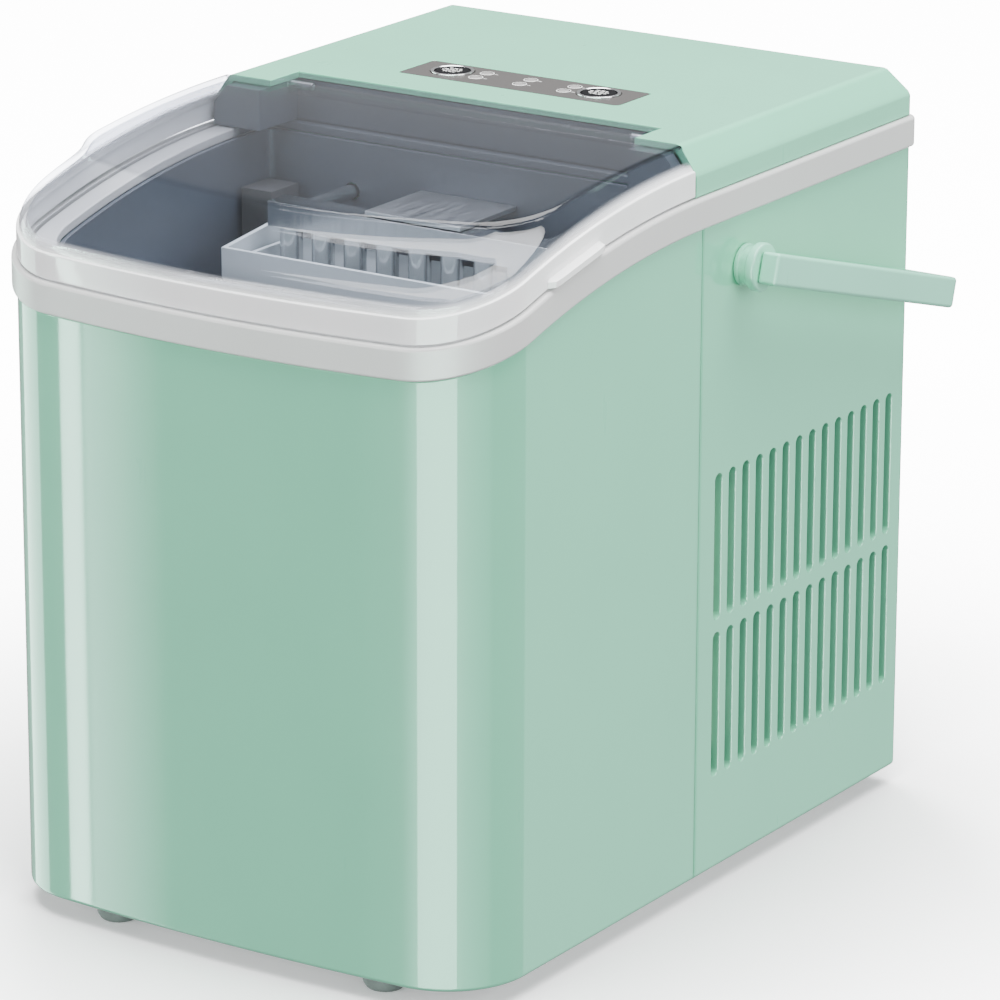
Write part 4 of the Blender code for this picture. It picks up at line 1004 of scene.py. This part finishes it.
studio = dict(worldColour=(0.97, 0.98, 1.0), worldStrength=0.52, floorGlow=12.5, floorDark=0.2,
              floorHalf=6.0, shadowReach=0.6, shadowPower=6.5, aim=(0, 0, 0.15),
              cardColour=(0.72, 1.0, 0.88), cardLow=-1.5, cardHigh=0.75)
# name: origin of the view ray (mm), azimuths, distance (m), radiance at each edge
cards = {
    "cornerCard": ((92, -150), (-5.8, 44.6), 1.9, (20.0, 20.0)),
    "cornerRise": ((84, -153), (-29.0, -6.0), 1.9, (1.0, 6.0)),
    "cornerFall": ((103, -142), (45.0, 88.0), 1.9, (5.0, 1.5)),
    "leftStrip": ((-69, -155), (-45.8, -44.3), 1.9, (32.0, 32.0)),
    "leftFade": ((-45, -156), (-44.6, -39.0), 1.95, (12.0, 0.5)),
    "leftSide": ((-90, -152), (-105.0, -67.0), 1.9, (9.0, 9.0)),
    "rightSide": ((111, -60), (141.0, 157.0), 1.9, (2.2, 1.8)),
}
# name: place, width and height in metres, radiance
softboxes = {
    "overhead": ((0.1, 0.15, 1.9), 1.8, 12.5),
    "rightFill": ((2.0, -0.3, 0.9), 1.2, 8.0),
    "frontFill": ((-0.8, -2.2, 0.9), 1.2, 7.5),
}


def towards(azimuth, distance):
    turn = math.radians(azimuth)
    return Vector((math.sin(turn) * distance, -math.cos(turn) * distance, 0))


def glow(name, first, second):
    # emission that runs evenly from one radiance to the other along the mesh's own u
    made = bpy.data.materials.new(name)
    made.use_nodes = True
    tree = made.node_tree
    tree.nodes.remove(tree.nodes["Principled BSDF"])
    place = node(tree, "ShaderNodeUVMap").outputs["UV"]
    along = node(tree, "ShaderNodeSeparateXYZ", {"Vector": place}).outputs["X"]
    emission = node(tree, "ShaderNodeEmission", {
        "Strength": spread(tree, along, first, second, 0, 1), "Color": (*studio["cardColour"], 1)})
    tree.links.new(emission.outputs["Emission"], tree.nodes["Material Output"].inputs["Surface"])
    return made


def studioPlane(name, corners, look):
    mesh = bpy.data.meshes.new(name)
    mesh.from_pydata([tuple(c) for c in corners], [], [(0, 1, 2, 3)])
    sheet = mesh.uv_layers.new(name="UVMap")
    for loop, spot in zip(sheet.data, ((0, 0), (1, 0), (1, 1), (0, 1))):
        loop.uv = spot
    mesh.materials.append(look)
    made = bpy.data.objects.new(name, mesh)
    bpy.context.scene.collection.objects.link(made)
    return made


def reflected(name, origin, azimuths, distance, radiance):
    # upright sheet that only reflections see
    start = at(*origin, 0)
    ends = [start + towards(azimuth, distance) for azimuth in azimuths]
    corners = [Vector((ends[i].x, ends[i].y, studio[key]))
               for i, key in ((0, "cardLow"), (1, "cardLow"), (1, "cardHigh"), (0, "cardHigh"))]
    sheet = studioPlane(name, corners, glow(name, *radiance))
    sheet.visible_camera = sheet.visible_diffuse = sheet.visible_shadow = False
    sheet.visible_transmission = False


def softbox(name, place, width, radiance):
    lamp = bpy.data.lights.new(name, "AREA")
    lamp.shape, lamp.size = "SQUARE", width
    lamp.energy = radiance * math.pi * width ** 2
    made = bpy.data.objects.new(name, lamp)
    bpy.context.scene.collection.objects.link(made)
    made.location = place
    made.rotation_euler = (Vector(studio["aim"]) - Vector(place)).to_track_quat("-Z", "Y").to_euler()
    made.visible_camera = False


def floorFinish():
    # pale and lit, with a painted contact shadow: the glow fades where the object is close
    made, tree, shader = newFinish("paleFloor")
    near = node(tree, "ShaderNodeAmbientOcclusion", {"Distance": studio["shadowReach"]},
                samples=8).outputs["AO"]
    grain = noise(tree, 3, 2)
    feed(tree, shader.inputs["Base Color"], blendOf(tree, grain, (0.86, 0.86, 0.87), (0.90, 0.90, 0.91)))
    # painted shadow: ambient occlusion dims the floor's glow near the object
    lit = node(tree, "ShaderNodeMath", {0: near, 1: studio["shadowPower"]}, operation="POWER")
    feed(tree, shader.inputs["Emission Strength"],
         spread(tree, lit.outputs["Value"], studio["floorDark"], studio["floorGlow"], 0, 1))
    shader.inputs["Emission Color"].default_value = (1, 1, 1, 1)
    shader.inputs["Roughness"].default_value = 0.5
    return made


def makeStudio():
    world = bpy.data.worlds.new("studio")
    bpy.context.scene.world = world
    world.use_nodes = True
    backdrop = world.node_tree.nodes["Background"]
    backdrop.inputs["Color"].default_value = (*studio["worldColour"], 1)
    backdrop.inputs["Strength"].default_value = studio["worldStrength"]
    for name, values in softboxes.items():
        softbox(name, *values)
    for name, values in cards.items():
        reflected(name, *values)
    half = studio["floorHalf"]
    floor = studioPlane("floor", [(-half, -half, 0), (half, -half, 0), (half, half, 0), (-half, half, 0)],
                        floorFinish())
    floor.visible_glossy = floor.visible_diffuse = floor.visible_shadow = False


makeStudio()

view = dict(angles=(33.453, 17.447, 0.176), distance=2.13823, lens=198.2,
            target=(19.89, 0.002, 137.86))


def makeCamera():
    # angles are azimuth, elevation and roll
    a, e, r = (math.radians(angle) for angle in view["angles"])
    back = Vector((math.sin(a) * math.cos(e), -math.cos(a) * math.cos(e), math.sin(e)))
    right = Vector((math.cos(a), math.sin(a), 0))
    up = back.cross(right)
    tiltedRight = right * math.cos(r) + up * math.sin(r)
    tiltedUp = up * math.cos(r) - right * math.sin(r)
    lens = bpy.data.cameras.new("viewpoint")
    lens.lens, lens.sensor_width = view["lens"], 36.0
    camera = bpy.data.objects.new("viewpoint", lens)
    bpy.context.scene.collection.objects.link(camera)
    turn = Matrix((tiltedRight, tiltedUp, back)).transposed().to_4x4()
    camera.matrix_world = Matrix.Translation(at(*view["target"]) + back * view["distance"]) @ turn
    bpy.context.scene.camera = camera


makeCamera()
print("studio and camera made")
